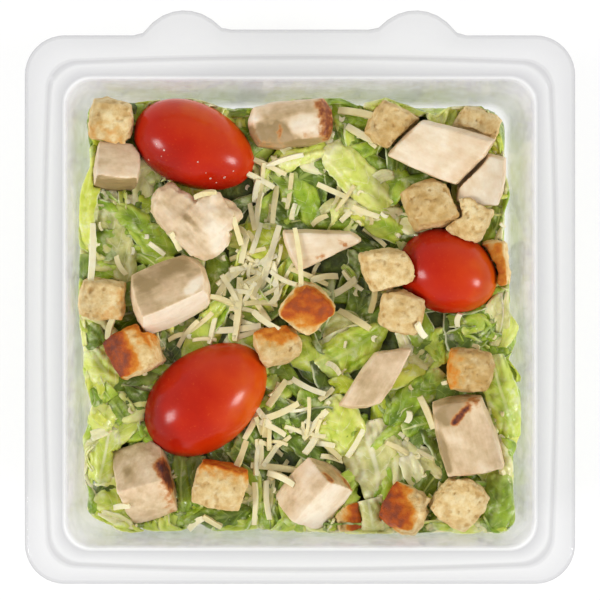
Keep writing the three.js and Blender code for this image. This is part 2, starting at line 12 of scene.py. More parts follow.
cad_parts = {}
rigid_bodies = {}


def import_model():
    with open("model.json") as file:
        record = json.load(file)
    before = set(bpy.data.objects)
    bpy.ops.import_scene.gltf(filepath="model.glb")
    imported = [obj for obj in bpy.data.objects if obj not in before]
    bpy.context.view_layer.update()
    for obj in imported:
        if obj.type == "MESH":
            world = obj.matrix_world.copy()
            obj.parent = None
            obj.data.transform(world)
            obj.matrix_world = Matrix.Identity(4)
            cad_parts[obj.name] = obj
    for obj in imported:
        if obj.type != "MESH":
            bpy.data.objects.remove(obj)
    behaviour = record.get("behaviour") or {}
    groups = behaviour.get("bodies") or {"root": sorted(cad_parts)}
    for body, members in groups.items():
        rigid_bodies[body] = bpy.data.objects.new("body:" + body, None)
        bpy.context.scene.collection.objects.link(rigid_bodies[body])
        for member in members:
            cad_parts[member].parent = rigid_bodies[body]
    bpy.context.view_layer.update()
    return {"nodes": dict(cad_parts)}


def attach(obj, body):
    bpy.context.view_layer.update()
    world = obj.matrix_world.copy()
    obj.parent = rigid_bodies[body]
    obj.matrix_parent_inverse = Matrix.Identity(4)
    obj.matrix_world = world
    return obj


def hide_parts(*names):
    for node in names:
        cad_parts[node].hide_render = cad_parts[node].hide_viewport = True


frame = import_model()
MM = 0.001
NODES = frame["nodes"]

# ---------------------------------------------------------------- measures (millimetres), as in the solids

FLANGE_WIDTH = 152.0
FLANGE_DEPTH = 151.5
HEIGHT = 50.0
WALL = 0.6
CORNER = 11.0
TAB_REACH, TAB_RADIUS, TAB_FILLET, TAB_OFFSET = 6.9, 13.0, 3.7, 32.0
BACK_BULGE = 1.6
FRONT = -(FLANGE_DEPTH + TAB_REACH) / 2
BACK = FRONT + FLANGE_DEPTH
WELL_HALF, WELL_RADIUS, DRAFT, FLOOR_FILLET = 65.0, 7.0, math.radians(7), 4.0
WELL_Y = FRONT + 9.7 + WELL_HALF
SEAT_Z = HEIGHT - 2.2
LEDGE_HALF, LEDGE_BOW, LEDGE_RADIUS, LEDGE_SLOPE = 69.0, 1.3, 8.5, 0.5
HEAP_MIDDLE, HEAP_EDGE, HEAP_BUMP = 30.5, 33.5, 2.2
HEAP_TOP = 44.0  # leaves are laid no higher
CORE_INSET, CORE_BOTTOM = 8.0, 3.2
CORE_SUNK, CORE_RIM_DROP = 1.0, 8.0  # how far the core is below the leaves, and how much further at its rim

rng = np.random.default_rng(5)

# ---------------------------------------------------------------- noise


def lattice(i, j, k, seed):
    """A number from -1 to 1 for each point of a grid."""
    n = (i * 73856093) ^ (j * 19349663) ^ (k * 83492791) ^ (seed * 374761393)
    n = (n ^ (n >> 13)) * 1274126177
    n = (n ^ (n >> 16)) & 0xFFFFFF
    return n / float(0x7FFFFF) - 1.0


def noise(points, span, seed=0):
    """Smooth noise from -1 to 1 at points, one bump to a span."""
    p = np.asarray(points, float) / span
    cell = np.floor(p).astype(np.int64)
    f = p - cell
    f = f * f * (3 - 2 * f)
    total = 0
    for corner in np.ndindex(2, 2, 2):
        weight = np.prod(np.abs(1 - np.array(corner) - f), axis=-1)
        total = total + weight * lattice(*np.moveaxis(cell + corner, -1, 0), seed)
    return total


def rough_noise(points, span, seed=0, octaves=3):
    """Noise with finer noise on it."""
    total, size = 0, 1.0
    for octave in range(octaves):
        total = total + size * noise(points, span / 2**octave, seed + 17 * octave)
        size *= 0.5
    return total


def smoothstep(low, high, x):
    """0 below low, 1 above high, eased between, or the other way round."""
    t = np.clip((x - low) / (high - low), 0, 1)
    return t * t * (3 - 2 * t)


# ---------------------------------------------------------------- directions and paths


def unit(direction):
    """A direction with a length of one."""
    return np.array(direction) / np.linalg.norm(direction)


def crossing(middle, turn, length, bow=0.0, ahead=0.0):
    """Three places on a line through a place: its turn and its length. bow and ahead: how far the second one
    is off to the side and ahead, as shares of half the length."""
    reach = np.array([math.cos(turn), math.sin(turn)]) * length / 2
    return [middle - reach, middle + reach * ahead + np.array([-reach[1], reach[0]]) * bow, middle + reach]


# ---------------------------------------------------------------- meshes


def show(name, data):
    """A new object in the scene."""
    thing = bpy.data.objects.new(name, data)
    bpy.context.scene.collection.objects.link(thing)
    return thing


def mesh_tree(pieces):
    """The faces of some objects in mm, to be hit from above."""
    verts, faces = [], []
    for piece in pieces:
        first = len(verts)
        verts += [v.co / MM for v in piece.data.vertices]
        faces += [[first + i for i in p.vertices] for p in piece.data.polygons]
    return BVHTree.FromPolygons(verts, faces)


def fall_on(tree, x, y):
    """The place and the normal where something that falls at x, y lands, or None and None."""
    return tree.ray_cast(Vector((x, y, 2 * HEIGHT)), Vector((0, 0, -1)))[:2]


def add_piece(name, verts_mm, faces, material, replaces=(), attributes=None, smooth=True):
    """A mesh object that rides on the tray's body."""
    mesh = bpy.data.meshes.new(name)
    mesh.from_pydata((np.asarray(verts_mm) * MM).tolist(), [], [list(face) for face in faces])
    for key, values in (attributes or {}).items():
        values = np.asarray(values, np.float32)
        kind = "FLOAT" if values.ndim == 1 else "FLOAT_VECTOR"
        field = "value" if values.ndim == 1 else "vector"
        mesh.attributes.new(key, kind, "POINT").data.foreach_set(field, values.ravel())
    mesh.polygons.foreach_set("use_smooth", [smooth] * len(mesh.polygons))
    mesh.materials.append(material)
    mesh.validate()
    piece = show(name, mesh)
    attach(piece, "root")
    if replaces:
        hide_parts(*replaces)


def triples(values, field):
    """Rows of three numbers from a mesh."""
    numbers = np.zeros(len(values) * 3)
    values.foreach_get(field, numbers)
    return numbers.reshape(-1, 3)


def remeshed(node, voxel_mm, smoothings=2):
    """Points, normals and quads of a node's solid, evenly meshed, with its edges worn a little, and how near
    each point is to an edge, from 0 to 1."""
    copy = show("remesh", NODES[node].data.copy())
    remesh = copy.modifiers.new("remesh", "REMESH")
    remesh.mode = "VOXEL"
    remesh.voxel_size = voxel_mm * MM
    smooth = copy.modifiers.new("smooth", "SMOOTH")
    smooth.factor = 0.5
    worn = []
    for iterations in (smoothings, smoothings + 14):
        smooth.iterations = iterations
        graph = bpy.context.evaluated_depsgraph_get()
        mesh = bpy.data.meshes.new_from_object(copy.evaluated_get(graph))
        worn.append(triples(mesh.vertices, "co") / MM)
        if iterations == smoothings:
            normals = triples(mesh.vertex_normals, "vector")
            faces = [tuple(p.vertices) for p in mesh.polygons]
        bpy.data.meshes.remove(mesh)
    bpy.data.objects.remove(copy)
    edge = smoothstep(0.1, 0.7, ((worn[0] - worn[1]) * normals).sum(axis=1) / voxel_mm)
    return worn[0], normals, faces, edge


def band(low, high, count):
    """Quads between two rings of points, from the number that each starts with."""
    return [[low + k, low + (k + 1) % count, high + (k + 1) % count, high + k] for k in range(count)]


def sheet_faces(along, across):
    """Quads of a closed thin sheet: the grid of its upper face, then that of its lower face, and the rim."""
    row = across + 1
    i, j = np.meshgrid(np.arange(along), np.arange(across), indexing="ij")
    a = (i * row + j).ravel()
    top = np.stack([a, a + row, a + row + 1, a + 1], axis=1)
    under = (along + 1) * row
    rows, columns = np.arange(along), np.arange(across)
    sides = [rows * row, along * row + columns, (along - rows) * row + across, across - columns]
    here = np.concatenate(sides)
    after = np.roll(here, -1)
    rim = np.stack([here, here + under, after + under, after], axis=1)
    return np.concatenate([top, top[:, ::-1] + under, rim])


def thickened(grid, thickness):
    """Both faces of a sheet of that thickness round a grid of points."""
    normal = np.cross(np.gradient(grid, axis=0), np.gradient(grid, axis=1))
    normal /= np.maximum(np.linalg.norm(normal, axis=-1, keepdims=True), 1e-9)
    half = normal * thickness / 2
    return np.concatenate([(grid + half).reshape(-1, 3), (grid - half).reshape(-1, 3)])


class Pile:
    """Meshes of one kind that end up as one piece."""

    def __init__(self):
        self.verts, self.faces, self.data, self.count = [], [], {}, 0

    def add(self, verts, faces, **data):
        self.verts.append(verts)
        self.faces.append(np.asarray(faces) + self.count)
        self.count += len(verts)
        for key, values in data.items():
            self.data.setdefault(key, []).append(values)

    def piece(self, name, material, slot, replaces=(), smooth=True):
        data = {key: np.concatenate(values) for key, values in self.data.items()}
        faces = [face for faces in self.faces for face in faces]
        add_piece(name, np.concatenate(self.verts), faces, material, replaces, data, smooth)


# ---------------------------------------------------------------- material helpers


def srgb(r, g, b):
    """A colour as screens show it, from 0 to 255, in Blender's linear numbers."""

    def linear(c):
        c /= 255
        return c / 12.92 if c <= 0.04045 else ((c + 0.055) / 1.055) ** 2.4

    return (linear(r), linear(g), linear(b), 1.0)


def grey(value):
    """A plain number as a colour."""
    return (value, value, value, 1.0)


class Value:
    """What a node gives. A sum or a product with it adds a node."""

    def __init__(self, nodes, socket):
        self.nodes, self.socket = nodes, socket

    def __add__(self, other):
        return self.nodes.math("ADD", self, other)

    def __mul__(self, other):
        return self.nodes.math("MULTIPLY", self, other)


class Nodes:
    """Short ways to add nodes to a tree."""

    def __init__(self, tree):
        self.tree = tree

    def put(self, socket, value):
        if isinstance(value, Value):
            self.tree.links.new(value.socket, socket)
        elif value is not None:
            socket.default_value = value

    def add(self, kind, inputs=(), output=0, **settings):
        """An output of a new node. Its inputs come by name or in their order."""
        node = self.tree.nodes.new("ShaderNode" + kind)
        for name, value in settings.items():
            setattr(node, name, value)
        for key, value in inputs.items() if isinstance(inputs, dict) else enumerate(inputs):
            self.put(node.inputs[key], value)
        return Value(self, node.outputs[output])

    def split(self, vector):
        node = self.add("SeparateXYZ", [vector]).socket.node
        return [Value(self, output) for output in node.outputs]

    def math(self, operation, *inputs, clamp=False):
        return self.add("Math", inputs, operation=operation, use_clamp=clamp)

    def most(self, first, *others):
        """The largest of some values."""
        for other in others:
            first = self.math("MAXIMUM", first, other)
        return first

    def range(self, *inputs):
        """A value eased to 0 at a low and to 1 at a high one, or to two other values there."""
        return self.add("MapRange", inputs, interpolation_type="SMOOTHSTEP")

    def mix(self, factor, a, b):
        """A colour between a and b, which is a node's or the red, green and blue of one."""
        other = srgb(*b) if isinstance(b, tuple) else b
        return self.add("Mix", {"Factor": factor, 6: a, 7: other}, 2, data_type="RGBA")

    def ramp(self, factor, *stops, colour=srgb):
        """A colour by a factor, between stops: where they are, then the red, green and blue."""
        result = self.add("ValToRGB", [factor])
        elements = result.socket.node.color_ramp.elements
        while len(elements) < len(stops):
            elements.new(0.5)
        for element, (position, *parts) in zip(elements, stops):
            element.position = position
            element.color = colour(*parts)
        return result


class Look(Nodes):
    """A node material with a Principled shader. scatter: how much light scatters under its skin, the share of
    each colour in how far, and how far in mm."""

    def __init__(self, name, scatter=None, **settings):
        self.material = bpy.data.materials.new(name)
        self.material.use_nodes = True
        super().__init__(self.material.node_tree)
        self.place = self.add("TexCoord", output="Object")
        self.finish(**settings)
        if scatter:
            weight, radius, far = scatter
            self.finish(subsurface_weight=weight, subsurface_radius=radius, subsurface_scale=far * MM)

    def noise(self, span, detail=3.0, roughness=0.5, place=None):
        """Noise from 0 to 1 with one bump to a span in mm."""
        inputs = {"Scale": 1 / (span * MM), "Detail": detail, "Roughness": roughness}
        return self.add("TexNoise", {**inputs, "Vector": place or self.place})

    def attribute(self, name, output="Fac"):
        return self.add("Attribute", output=output, attribute_name=name)

    def bump(self, height, depth, strength):
        """A normal for heights from 0 to 1, as deep as that in mm."""
        return self.add("Bump", {"Strength": strength, "Distance": depth * MM, "Height": height})

    def finish(self, **sockets):
        """Puts values into the shader's inputs and gives the material."""
        shader = self.tree.nodes["Principled BSDF"]
        for name, value in sockets.items():
            self.put(shader.inputs[name.replace("_", " ").title().replace("Ior", "IOR")], value)
        return self.material


# ---------------------------------------------------------------- materials

# The colours of each kind of leaf: deep, fresh, light and at the rib.
LEAF_COLOURS = {
    "dark": ((56, 72, 4), (98, 122, 14), (146, 172, 42), (196, 210, 112)),
    "green": ((96, 128, 8), (154, 184, 36), (202, 216, 86), (230, 234, 162)),
    "bright": ((154, 170, 22), (192, 204, 42), (220, 226, 98), (234, 236, 156)),
    "light": ((168, 188, 46), (210, 220, 94), (236, 238, 154), (246, 244, 202)),
    "pale": ((164, 170, 80), (214, 210, 136), (238, 234, 182), (246, 240, 208)),
}
LEAF_KINDS = tuple(LEAF_COLOURS)
# Besides the dressing, this cream paints the leaves' pale cut edges, their painted glints and a painted sheen.
CREAM = (232, 236, 196)  # dressing on the leaves


def leaf_material(kind):
    """Romaine: veined and mottled from deep to fresh to light, paler at its ribs, moist with dressing. Its
    puckers carry painted light and its folds painted shade, and its small cream specks are painted glints.
    """
    deep, fresh, light, rib = LEAF_COLOURS[kind]
    look = Look("leaf_" + kind, (0.25, (0.6, 1.0, 0.2), 1.0), specular_ior_level=0.52)
    u, v, tint = look.split(look.attribute("leaf", "Vector"))
    side = look.math("ABSOLUTE", v)
    ridge = look.attribute("ridge")
    # The ridge term paints light on the raised puckers and shade in the folds.
    tone = look.noise(4.5, 4, 0.6) * 0.8 + tint * 0.5 + ridge * 0.14
    colour = look.ramp(tone, (0.3, *deep), (0.62, *fresh), (0.95, *light))
    wander = look.noise(3.0, 2)
    phase = u * 5.5 + side * 1.7 + wander * 0.7
    lateral = look.range(look.math("PINGPONG", phase, 0.5), 0.07, 0.0)
    lateral = lateral * look.range(side, 0.95, 0.2, 0.15, 0.75)
    spine = look.range(side, 0.13, 0.03) * look.range(u, 1.0, 0.1, 0.25, 0.95) * look.attribute("rib")
    base = look.range(u + wander * 0.25, 0.42, 0.06, 0.0, 0.75)
    veins = look.most(lateral * 0.52, spine)
    colour = look.mix(look.most(veins, base), colour, rib)
    # Patches of dressing, a little more on the raised puckers as a painted sheen.
    film = look.range(look.noise(3.5, 3, 0.6) + ridge * 0.06, 0.52, 0.74, 0.0, 0.55)
    # Small cream specks: painted glints on the wet leaves.
    specks = look.range(look.noise(1.3, 2), 0.66, 0.8, 0.0, 0.28)
    rim = look.range(side, 0.86, 1.0, 0.0, 0.7) * look.range(look.noise(5.0, 2), 0.4, 0.6)
    colour = look.mix(look.most(film, specks, rim), colour, CREAM)
    crinkle = look.noise(2.2) + veins * -0.4
    gloss = look.range(look.noise(2.2), 0.35, 0.65, 0.24, 0.5)
    return look.finish(base_color=colour, roughness=gloss, normal=look.bump(crinkle, 0.3, 0.65))


def core_material():
    """What shows in the gaps between the leaves: dark greens, painted shade of the deep gaps."""
    look = Look("salad_core", roughness=0.5)
    colour = look.ramp(look.noise(5, 4, 0.6), (0.35, 48, 58, 8), (0.5, 78, 94, 20), (0.7, 118, 130, 46))
    return look.finish(base_color=colour, normal=look.bump(look.noise(2.5, 4), 1.0, 1.0))


def cheese_material():
    """Hard cheese, yellower or whiter by shred."""
    look = Look("cheese", (0.2, (1, 0.8, 0.4), 1.2), roughness=0.45)
    tone = look.noise(2.5, 4) * 0.6 + look.attribute("tint") * 0.5
    colour = look.ramp(tone, (0.2, 222, 206, 146), (0.5, 240, 228, 176), (0.85, 248, 242, 208))
    return look.finish(base_color=colour, normal=look.bump(look.noise(0.5, 4, 0.6), 0.12, 0.7))


def crouton_material():
    """Crumb from cream to gold, darker in its pores and chips as painted shade, toasted brown where a face was
    crust.
    """
    look = Look("crouton", (0.06, (1, 0.6, 0.3), 0.8), specular_ior_level=0.25)
    toast = look.attribute("toast")
    patches = look.noise(3.2, 4, 0.62)
    crumb = look.ramp(patches, (0.32, 210, 172, 108), (0.5, 232, 204, 146), (0.66, 244, 224, 174))
    gold = look.attribute("edge") * look.range(look.noise(2.0), 0.35, 0.65, 0.1, 0.6)
    crumb = look.mix(gold, crumb, (206, 152, 72))
    tan = look.attribute("tan") * look.range(look.noise(3.0, 2), 0.35, 0.65, 0.5, 1.4)
    crumb = look.mix(tan, crumb, (184, 144, 76))
    # Pores and chipped edges darker: painted shade in these hollows.
    crumb = look.mix(look.range(look.attribute("pit"), 0.1, 1.0, 0.0, 0.5), crumb, (198, 152, 82))
    grit = look.range(look.noise(0.6, 2, 0.6), 0.6, 0.74, 0.0, 0.22)
    crumb = look.mix(grit, crumb, (168, 122, 62))
    brown = toast + look.range(look.noise(2.2), 0.3, 0.7, -0.12, 0.12)
    tans = (0.15, 224, 172, 84), (0.42, 214, 132, 36)
    crust = look.ramp(brown, *tans, (0.66, 184, 82, 10), (0.95, 118, 58, 40))
    colour = look.mix(look.range(brown, 0.02, 0.44), crumb, crust)
    grain = look.noise(0.9, 4, 0.65) + look.noise(0.35, 2) * 0.4
    rough = look.range(toast, 0.3, 0.8, 0.75, 0.45)
    return look.finish(base_color=colour, roughness=rough, normal=look.bump(grain, 0.4, 0.9))


def chicken_material():
    """Poached white meat with a faint grain, lighter and darker by face and in streaks, partly painted light
    and shade, browned where a mark says.
    """
    look = Look("chicken", (0.14, (1, 0.55, 0.35), 1.4), roughness=0.5)
    grain = look.noise(1.3, 4, 0.6, look.attribute("fibre", "Vector"))
    tone = grain * 0.14 + 0.22 + look.noise(5.5, 4, 0.55) * 0.42 + look.attribute("tone") * 0.16
    shaded = (0.3, 162, 136, 90), (0.41, 202, 174, 131)
    colour = look.ramp(tone, *shaded, (0.5, 229, 204, 166), (0.64, 246, 232, 206))
    colour = look.mix(look.range(look.noise(7.0), 0.46, 0.64, 0.0, 0.24), colour, (230, 196, 162))
    brown = look.attribute("brown") + look.range(look.noise(1.6, 4, 0.6), 0.3, 0.7, -0.16, 0.16)
    tans = (0.2, 214, 168, 108), (0.45, 192, 124, 58)
    seared = look.ramp(brown, *tans, (0.7, 136, 66, 28), (0.95, 70, 26, 20))
    colour = look.mix(look.range(brown, 0.06, 0.55), colour, seared)
    return look.finish(base_color=colour, normal=look.bump(look.noise(0.6) * 0.5 + grain, 0.14, 0.8))


def tomato_material():
    """Glossy skin, from deep red over red to orange by an attribute: orange where it is riper, deep red
    towards the other side, which is partly painted shade.
    """
    look = Look("tomato", (0.08, (1, 0.2, 0.05), 2), roughness=0.21, specular_ior_level=0.25)
    ripe_and_shade = look.noise(6.0) * 0.3 + look.attribute("ripe_and_shade")
    colour = look.ramp(ripe_and_shade, (0.1, 132, 10, 4), (0.45, 186, 32, 4), (0.72, 204, 56, 6), (1.0, 224, 104, 14))
    colour = look.mix(look.range(look.noise(0.7, 2), 0.6, 0.8, 0, 0.25), colour, (222, 96, 36))
    return look.finish(base_color=colour, normal=look.bump(look.noise(2.6), 0.03, 0.5))


def drop_material():
    """Thin dressing, tinted by the fruit under it."""
    look = Look("dressing_drops", roughness=0.1, coat_weight=0.5, alpha=0.75)
    return look.finish(base_color=look.ramp(look.noise(0.8), (0.4, 226, 170, 150), (0.6, 244, 214, 200)))


def plastic_material():
    """Clear formed sheet: mostly see-through, with a grey veil, cloudier where the sheet is drawn. At grazing
    angles the veil and its streaks are a painted reflection.
    """
    look = Look("clear_plastic", roughness=0.08)
    facing = look.add("LayerWeight", {"Blend": 0.25}, "Facing")
    drawn = look.attribute("drawn")
    streaks = look.range(look.noise(3.5, 4, 0.6), 0.35, 0.7, 0.42, 0.68)
    # The veil grows at grazing angles and in streaks: painted reflection of what lies round the walls.
    veil = (drawn * streaks + 0.2) * look.range(facing, 0.3, 0.8)
    clear = look.ramp(drawn, (0.15, 0.092), (0.6, 0.22), (0.85, 0.04), colour=grey)
    alpha = look.math("ADD", clear, veil, clamp=True)
    tint = look.ramp(drawn, (0.15, 142, 140, 152), (0.6, 110, 108, 122), (0.9, 198, 193, 208))
    return look.finish(base_color=tint, alpha=alpha, normal=look.bump(look.noise(7.0), 0.25, 0.5))


def floor_material():
    """A pale matte floor, lit mostly from within so that it stays white."""
    look = Look("floor", roughness=0.9, emission_color=grey(1), emission_strength=0.76)
    return look.finish(base_color=look.ramp(look.noise(60), (0.3, 139, 139, 139), (0.7, 142, 142, 142)))


# ---------------------------------------------------------------- the tray


def tab_fillet(base):
    """Y of the middles of a tab's arc and of its fillet, and how far the fillet's is off the tab's middle."""
    arc_y = BACK + TAB_REACH - TAB_RADIUS
    y = base + TAB_FILLET
    return arc_y, y, math.sqrt((TAB_RADIUS + TAB_FILLET) ** 2 - (y - arc_y) ** 2)


def back_edge(x, inset):
    """Y of the flange's back edge, moved in by an inset, with its two round tabs."""
    away = abs(x) - TAB_OFFSET
    base = BACK + BACK_BULGE * float(smoothstep(TAB_REACH, -TAB_REACH, away))
    arc_y, fillet_y, fillet_x = tab_fillet(base)
    tangent = fillet_x * (TAB_RADIUS - inset) / (TAB_RADIUS + TAB_FILLET)
    distance = abs(away)
    if distance >= fillet_x:
        return base - inset
    if distance <= tangent:
        return arc_y + math.sqrt((TAB_RADIUS - inset) ** 2 - distance**2)
    return fillet_y - math.sqrt((TAB_FILLET + inset) ** 2 - (fillet_x - distance) ** 2)


def rounded_loop(edges, radius, z, bow=0.0, back=None, corner_steps=10, side_steps=48):
    """A loop round a rectangle with rounded corners, whose sides may bow outwards."""
    west, east, south, north = edges
    left, right, low, high = west + radius, east - radius, south + radius, north - radius
    corners = [(right, high), (left, high), (left, low), (right, low)]
    loop = []
    for side, (out_x, out_y) in enumerate(((1, 0), (0, 1), (-1, 0), (0, -1))):
        (x0, y0), (x1, y1) = corners[side - 1], corners[side]
        for step in range(side_steps):
            f = step / side_steps
            out = radius + bow * 4 * f * (1 - f)
            x, y = x0 + (x1 - x0) * f + out_x * out, y0 + (y1 - y0) * f + out_y * out
            loop.append((x, back(x) if back and side == 1 else y, z))
        for step in range(corner_steps):
            angle = (side + step / corner_steps) * math.pi / 2
            loop.append((x1 + radius * math.cos(angle), y1 + radius * math.sin(angle), z))
    return loop


def well_half(z):
    """Half the width of the well at a height, or at heights."""
    up = np.clip((z - WALL) / FLOOR_FILLET, 0, 1)
    curl = FLOOR_FILLET * (1 - np.sqrt(1 - (1 - up) ** 2))
    return WELL_HALF - (SEAT_Z - z) * math.tan(DRAFT) - curl


def flange_loop(inset, z):
    half = FLANGE_WIDTH / 2 - inset
    edges = (-half, half, FRONT + inset, BACK - inset)
    return rounded_loop(edges, CORNER - inset, z, back=lambda x: back_edge(x, inset))


def square_loop(half, radius, z, bow=0.0):
    return rounded_loop((-half, half, WELL_Y - half, WELL_Y + half), radius, z, bow)


def tray_rows():
    """Loops of the tray's skin from the middle of its floor, over the rim and back underneath. Each has the
    share of stretch there."""
    rows = []

    def wall(out, z_wall, stretch, z=None):
        half = well_half(z_wall) + out
        rows.append((square_loop(half, WELL_RADIUS + out, z_wall if z is None else z), stretch))

    def ledge(half, z, stretch):
        rows.append((square_loop(half, LEDGE_RADIUS, z, LEDGE_BOW), stretch))

    for share in (0, 0.08, 0.25, 0.5, 1):
        wall(0, WALL + share * FLOOR_FILLET, 0.9)
    for z in (12, 20, 28, 36, 43, SEAT_Z - 0.5):
        wall(0, z, 1.0)
    wall(0.4, SEAT_Z, 0.6)
    ledge(LEDGE_HALF - 0.6, SEAT_Z, 0.1)
    ledge(LEDGE_HALF, SEAT_Z + 0.4, 0.6)
    ledge(LEDGE_HALF + LEDGE_SLOPE, HEIGHT - 0.3, 0.6)
    ledge(LEDGE_HALF + LEDGE_SLOPE + 0.4, HEIGHT, 0.1)
    for inset, drop, stretch in ((1.4, 0, 0.1), (0.9, 0.12, 0.5), (0.35, 0.6, 0.6), (0, 1.6, 0.6)):
        rows.append((flange_loop(inset, HEIGHT - drop), stretch))
    for inset, drop in ((WALL, 1.6), (1.0, 0.9), (1.5, WALL)):
        rows.append((flange_loop(inset, HEIGHT - drop), 0.4))
    outside = LEDGE_HALF + LEDGE_SLOPE + WALL
    ledge(outside + 0.4, HEIGHT - WALL, 0.1)
    ledge(outside, HEIGHT - WALL - 0.4, 0.5)
    ledge(LEDGE_HALF + WALL, SEAT_Z - WALL + 0.2, 0.5)
    ledge(LEDGE_HALF - 0.4, SEAT_Z - WALL, 0.1)
    wall(WALL + 0.4, SEAT_Z, 0.5, SEAT_Z - WALL)
    for z in (SEAT_Z - WALL - 0.6, 43, 36, 28, 20, 12):
        wall(WALL, z, 1.0)
    for share in (1, 0.5, 0.25, 0.08, 0):
        z = WALL + share * FLOOR_FILLET
        wall(WALL, z, 0.9, z - WALL * (1 - share))
    return rows


def make_tray():
    rows = tray_rows()
    count = len(rows[0][0])
    verts = [(0.0, WELL_Y, WALL)] + [p for loop, _ in rows for p in loop] + [(0.0, WELL_Y, 0.0)]
    drawn = [0.3] + [stretch for _, stretch in rows for _ in range(count)] + [0.3]
    faces = []
    for i in range(count):
        after = (i + 1) % count
        faces.append([0, 1 + i, 1 + after])
        for row in range(len(rows) - 1):
            a, b = 1 + row * count, 1 + (row + 1) * count
            faces.append([a + i, b + i, b + after, a + after])
        last = 1 + (len(rows) - 1) * count
        faces.append([last + i, len(verts) - 1, last + after])
    add_piece("tray_sheet", verts, faces, plastic_material(), ["tray"], {"drawn": drawn})


# ---------------------------------------------------------------- the toppings

BREAD_GRID, MEAT_GRID = 0.42, 0.46  # mm between the points of a crouton and of a piece of chicken
LUMP, PIT, NICK = 0.25, 0.5, 1.1  # mm of a crouton's lumps, pits and chipped edges
STRETCHED = 0.14  # the grain of the meat along its fibres, against that across them


# Which way each crouton's crust faces, and how dark it is.
CRUSTS = {
    1: [((0.1, 0.25, 1), 0.7)],
    8: [((-0.3, -1, 0.4), 0.2)],
    9: [((1, -0.3, 0.3), 0.2)],
    10: [((-1, -0.15, 0.55), 0.84), ((0.2, 1, 0.3), 0.45)],
    11: [((0.3, 1, 0.2), 0.55)],
    12: [((-0.2, 1, 0.45), 0.5)],
    6: [((-1, 0.1, 0.2), 0.35)],
    14: [((-0.9, 0.1, 0.75), 0.78)],
    16: [((-0.5, -0.4, 0.9), 0.5)],
    17: [((1, 0, 0.6), 0.7)],
}

# How much darker than the rest the crumb of some croutons is.
TANNED = {3: 0.2, 4: 0.5, 6: 0.55, 7: 0.45, 11: 0.15, 12: 0.3}


def make_crouton(number, material, toasted=(), tan=0.0):
    """toasted: (direction that the crust faces, how dark it is). tan: how much darker its crumb is."""
    node = f"crouton_{number}"
    points, normals, faces, edge = remeshed(node, BREAD_GRID)
    crust = np.zeros(len(points))
    lumps = rough_noise(points, 4.0, number, 2)
    middle = points.mean(axis=0)
    size = (points.max(axis=0) - points.min(axis=0)).mean() / 2
    for direction, dark in toasted:
        aim = unit(direction)
        facing = 0.4 * (normals @ aim) + 0.6 * ((points - middle) @ aim) / size + 0.12 * lumps
        crust = np.maximum(crust, dark * smoothstep(0.15, 0.85, facing))
    porous = 1 - 0.8 * np.clip(crust * 1.6, 0, 1)
    jagged = rough_noise(points, 2.3, 20 + number, 3)
    pit = smoothstep(0.3, 0.8, rough_noise(points, 1.3, 40 + number, 2)) * porous
    nick = smoothstep(0.1, 0.9, noise(points, 2.6, 60 + number)) * edge
    push = LUMP * lumps + (0.14 + 0.2 * porous) * jagged - PIT * pit - NICK * nick * (0.35 + porous)
    # pit: where the crumb is darkened as painted shade, in its pores and chipped edges.
    data = {"pit": pit + 0.4 * nick * porous, "toast": crust, "edge": edge, "tan": np.full(len(points), tan)}
    add_piece(node + "_bread", points + normals * push[:, None], faces, material, [node], data)


def off_segment(points, start, end):
    """How far points are from a line between two places, height counting half."""
    squash = np.array([1, 1, 0.5])
    start, end = np.array(start) * squash, np.array(end) * squash
    along = end - start
    share = np.clip((points * squash - start) @ along / max(along @ along, 1e-9), 0, 1)
    return np.linalg.norm(points * squash - start - share[:, None] * along, axis=1)


